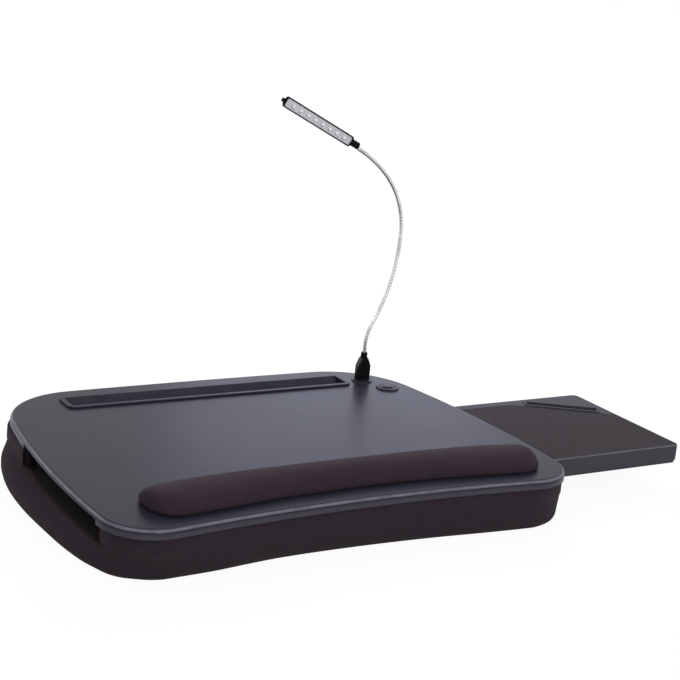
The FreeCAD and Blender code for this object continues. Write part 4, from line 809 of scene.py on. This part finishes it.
def tuckFoot(piece, s):
    # low points move in against their level direction outwards, by the square of the share of height left
    p = pointsOf(piece.data)
    facing = np.empty(p.size)
    piece.data.vertices.foreach_get("normal", facing)
    level = facing.reshape(-1, 3)[:, :2]
    level = level / np.maximum(np.linalg.norm(level, axis=1, keepdims=True), 1e-6)
    depth, height = s["tuck"]
    left = np.clip(1 - (p[:, 2] / mm - s["foot"] - s["gap"]) / height, 0, 1)
    p[:, :2] -= level * (left**2 * depth * mm)[:, None]
    putPoints(piece.data, p)


def wrapWeave(piece, s):
    # place on the cloth: along the rest, and round its long axis
    p = pointsOf(piece.data)
    middle = -(s["front"] - s["depth"] / 2) * mm
    angle = np.arctan2(p[:, 2] - (s["foot"] - s["weaveDown"]) * mm, p[:, 1] - middle)
    mapWeave(piece.data, np.stack([p[:, 0], angle * s["weaveRadius"] * mm], 1))


makeWristRest(wristRest)


# inlaid pad of the sliding deck: its six-sided outline shrunk towards a centre, with a soft rolled edge
mousePad = {
    "middle": (184.0, -41.0), "centre": (0.0, -8.0),
    "end": 231.8, "near": -85.3, "far": 75.3, "cutAlong": 99.0, "cutAcross": 61.5,
    "roll": 0.9, "rollSteps": 6, "low": 44.5, "high": 45.9,
    "underInset": 40.0, "topInsets": (3.0, 12.0, 35.0),
    # shares of a side, the middle ones as first, last and count
    "fromCorner": (0.004, 0.012), "sidePoints": (0.03, 0.97, 30), "toCorner": (0.988, 0.996),
}


def makeMousePad(s):
    end, near, far = s["end"], s["near"], s["far"]
    cutEnd, cutSide = end - s["cutAlong"], far - s["cutAcross"]
    corners = np.array([(-end, near), (end, near), (end, cutSide),
                        (cutEnd, far), (-cutEnd, far), (-end, cutSide)])
    after = np.roll(corners, -1, 0)
    share = np.concatenate([s["fromCorner"], np.linspace(*s["sidePoints"]), s["toCorner"]])
    loop = (corners[:, None] + (after - corners)[:, None] * share[None, :, None]).reshape(-1, 2)
    centre = np.array(s["centre"])
    reach = np.linalg.norm(loop - centre, axis=1, keepdims=True)
    turn = np.linspace(0, math.pi / 2, s["rollSteps"])
    rows = [(s["underInset"], s["low"]), (0.0, s["low"]), (0.0, s["high"] - s["roll"])]
    rows += [(s["roll"] * (1 - math.cos(t)), s["high"] - s["roll"] * (1 - math.sin(t))) for t in turn[1:]]
    rows += [(inset, s["high"]) for inset in s["topInsets"]]
    levels = []
    for inset, z in rows:
        flat = centre + (loop - centre) * (1 - inset / reach)
        levels.append(np.concatenate([flat, np.full((len(loop), 1), z)], 1))
    points = np.concatenate(levels)
    points[:, :2] += np.array(s["middle"])
    number = np.arange(len(points)).reshape(len(rows), -1)
    faces = [*gridFaces(closeRound(number)), number[0][::-1], number[-1]]
    piece = makePiece("mousePad", points, faces, "pad", points[:, :2] * mm)
    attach(piece, "mouse_deck")
    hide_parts("mouse_pad")
    print("mouse pad:", len(piece.data.polygons), "faces")


makeMousePad(mousePad)


# gooseneck: a round wound hose along straight and curved runs; its radius dips once in every turn of
# the winding
neck = {
    "foot": (186.0, 140.0, 76.6), "radius": 2.3, "pitch": 1.7, "dip": 0.13, "around": 20, "rowsEach": 7,
    # length and curvature of each run
    "runs": ((17.0, 0.0), (25.307, 1 / 50.0), (105.277, -1 / 208.0), (76.184, -1 / 97.0),
             (47.141, -1 / 146.0)),
    "split": 147.584, "lowerBend": (25.0, 120.0), "upperBend": (160.0, 255.0),  # lengths along it
    "sharpness": 3, "fineSteps": 6001,
}


def neckPath(s, at):
    # the lean is the sum of curvature along the runs, and the path the sum of the lean's sine and cosine
    lengths, bends = np.array(s["runs"]).T
    ends = np.concatenate([[0], np.cumsum(lengths)])
    fine = np.linspace(0, ends[-1], s["fineSteps"])
    lean = np.interp(fine, ends, np.concatenate([[0], np.cumsum(lengths * bends)]))
    step = fine[1] - fine[0]
    x = np.concatenate([[0], np.cumsum((np.sin(lean[1:]) + np.sin(lean[:-1])) / 2)]) * step
    z = np.concatenate([[0], np.cumsum((np.cos(lean[1:]) + np.cos(lean[:-1])) / 2)]) * step
    foot = np.array(s["foot"])
    ahead = [foot[0] + np.interp(at, fine, x), np.full(len(at), foot[1]), foot[2] + np.interp(at, fine, z)]
    return np.stack(ahead, 1), np.interp(at, fine, lean)


def makeNeck(name, s, first, last, node):
    turns = int((last - first) / s["pitch"])
    at = np.linspace(first, last, turns * s["rowsEach"] + 1)
    line, lean = neckPath(s, at)
    angle = np.linspace(0, 2 * math.pi, s["around"], endpoint=False)
    # the winding climbs one pitch in each turn round the hose
    climb = (at - first)[:, None] / s["pitch"] - angle[None] / (2 * math.pi)
    radius = s["radius"] - s["dip"] * (0.5 + 0.5 * np.cos(2 * math.pi * climb)) ** s["sharpness"]
    across = np.stack([np.cos(lean), np.zeros(len(at)), -np.sin(lean)], 1)
    ring = across[:, None] * np.cos(angle)[None, :, None] + np.array([0, 1, 0]) * np.sin(angle)[None, :, None]
    points = line[:, None] + ring * radius[..., None]
    number = np.arange(radius.size).reshape(radius.shape)
    faces = [*gridFaces(closeRound(number)), number[0][::-1], number[-1]]
    weave = np.stack([np.broadcast_to(angle, radius.shape) * s["radius"],
                      np.broadcast_to(at[:, None], radius.shape)], -1)
    piece = makePiece(name, points.reshape(-1, 3), faces, "nickel", weave.reshape(-1, 2) * mm)
    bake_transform(piece)
    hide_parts(node)
    print(name + ":", len(piece.data.polygons), "faces")


neckSplit, neckEnd = neck["split"], sum(run[0] for run in neck["runs"])
makeNeck("neckLower", neck, 0.0, neckSplit, "gooseneck_lower")
makeNeck("neckUpper", neck, neckSplit, neckEnd,
         "gooseneck_upper")


# pale floor that keeps the shadow and turns plain white away from the tray
floor = {
    "half": 9.0, "lines": 9, "level": -0.0004, "colour": shade(240, 240, 240),
    "plainFrom": 0.45, "plainTo": 1.2, "nearShare": 0.9, "glow": 1.04,
}
white = (1, 1, 1, 1)


def whiteSeen(tree):
    # one for rays of the camera, of mirrors and of glass
    path = addNode(tree, "ShaderNodeLightPath")
    seen = math2(tree, "MAXIMUM", path.outputs["Is Camera Ray"], path.outputs["Is Glossy Ray"])
    return math2(tree, "MAXIMUM", seen, path.outputs["Is Transmission Ray"])


def mixInto(tree, share, first, second, target):
    mix = tree.nodes.new("ShaderNodeMixShader")
    wire(tree, share, mix.inputs[0])
    wire(tree, first.outputs[0], mix.inputs[1])
    wire(tree, second.outputs[0], mix.inputs[2])
    wire(tree, mix.outputs[0], target)


def makeFloor(s):
    grid = np.linspace(-s["half"], s["half"], s["lines"])
    x, y = np.meshgrid(grid, grid)
    points = np.stack([x, y, np.full_like(x, s["level"])], -1).reshape(-1, 3)
    mesh = bpy.data.meshes.new("floor")
    mesh.from_pydata(points.tolist(), [], gridFaces(np.arange(x.size).reshape(x.shape)).tolist())
    piece = bpy.data.objects.new("floor", mesh)
    scene.collection.objects.link(piece)
    material = bpy.data.materials.new("floorPale")
    material.use_nodes = True
    tree = material.node_tree
    tree.nodes.clear()
    out = tree.nodes.new("ShaderNodeOutputMaterial")
    matte = addNode(tree, "ShaderNodeBsdfDiffuse", {"Color": s["colour"]})
    plain = addNode(tree, "ShaderNodeEmission", {"Color": white, "Strength": s["glow"]})
    place = addNode(tree, "ShaderNodeTexCoord")
    away = addNode(tree, "ShaderNodeVectorMath", operation="LENGTH")
    wire(tree, place.outputs["Object"], away.inputs[0])
    share = span(tree, away.outputs["Value"], s["plainFrom"], s["plainTo"], s["nearShare"], 1.0)
    mixInto(tree, math2(tree, "MULTIPLY", share, whiteSeen(tree)), matte, plain, out.inputs["Surface"])
    mesh.materials.append(material)


makeFloor(floor)
print("floor laid")

# soft studio light: a key over the right rear, a broad fill in front, a low glow behind, and a faint cool
# card that the deck mirrors
studio = {
    "ambient": 0.42, "backdrop": 1.0, "aim": (0.05, 0, 0.04),
    "unmirrored": ("key",), "cool": {"card": (0.68, 0.72, 1.0)},
    # name, place, size and power
    "lamps": (
        ("key", (0.65, 0.8, 0.6), 0.8, 13.0),
        ("fill", (0.2, -2.2, 1.2), 1.6, 20.0),
        ("glow", (-0.9, 1.3, 0.9), 1.0, 5.0),
        ("card", (0.75, 1.06, 0.42), 0.66, 1.2),
    ),
}


def makeStudio(s):
    for name, place, size, power in s["lamps"]:
        lamp = bpy.data.lights.new(name, "AREA")
        lamp.shape, lamp.size, lamp.energy = "DISK", size, power
        lamp.color = s["cool"].get(name, white[:3])
        made = bpy.data.objects.new(name, lamp)
        scene.collection.objects.link(made)
        made.location, made.visible_glossy = place, name not in s["unmirrored"]
        made.rotation_euler = (Vector(s["aim"]) - Vector(place)).to_track_quat("-Z", "Y").to_euler()
    world = bpy.data.worlds.new("studio")
    scene.world = world
    world.use_nodes = True
    tree = world.node_tree
    tree.nodes.clear()
    out = tree.nodes.new("ShaderNodeOutputWorld")
    soft = addNode(tree, "ShaderNodeBackground", {"Color": white, "Strength": s["ambient"]})
    plain = addNode(tree, "ShaderNodeBackground", {"Color": white, "Strength": s["backdrop"]})
    mixInto(tree, whiteSeen(tree), soft, plain, out.inputs["Surface"])
    scene.view_settings.view_transform = "Standard"


makeStudio(studio)
print("studio lit")
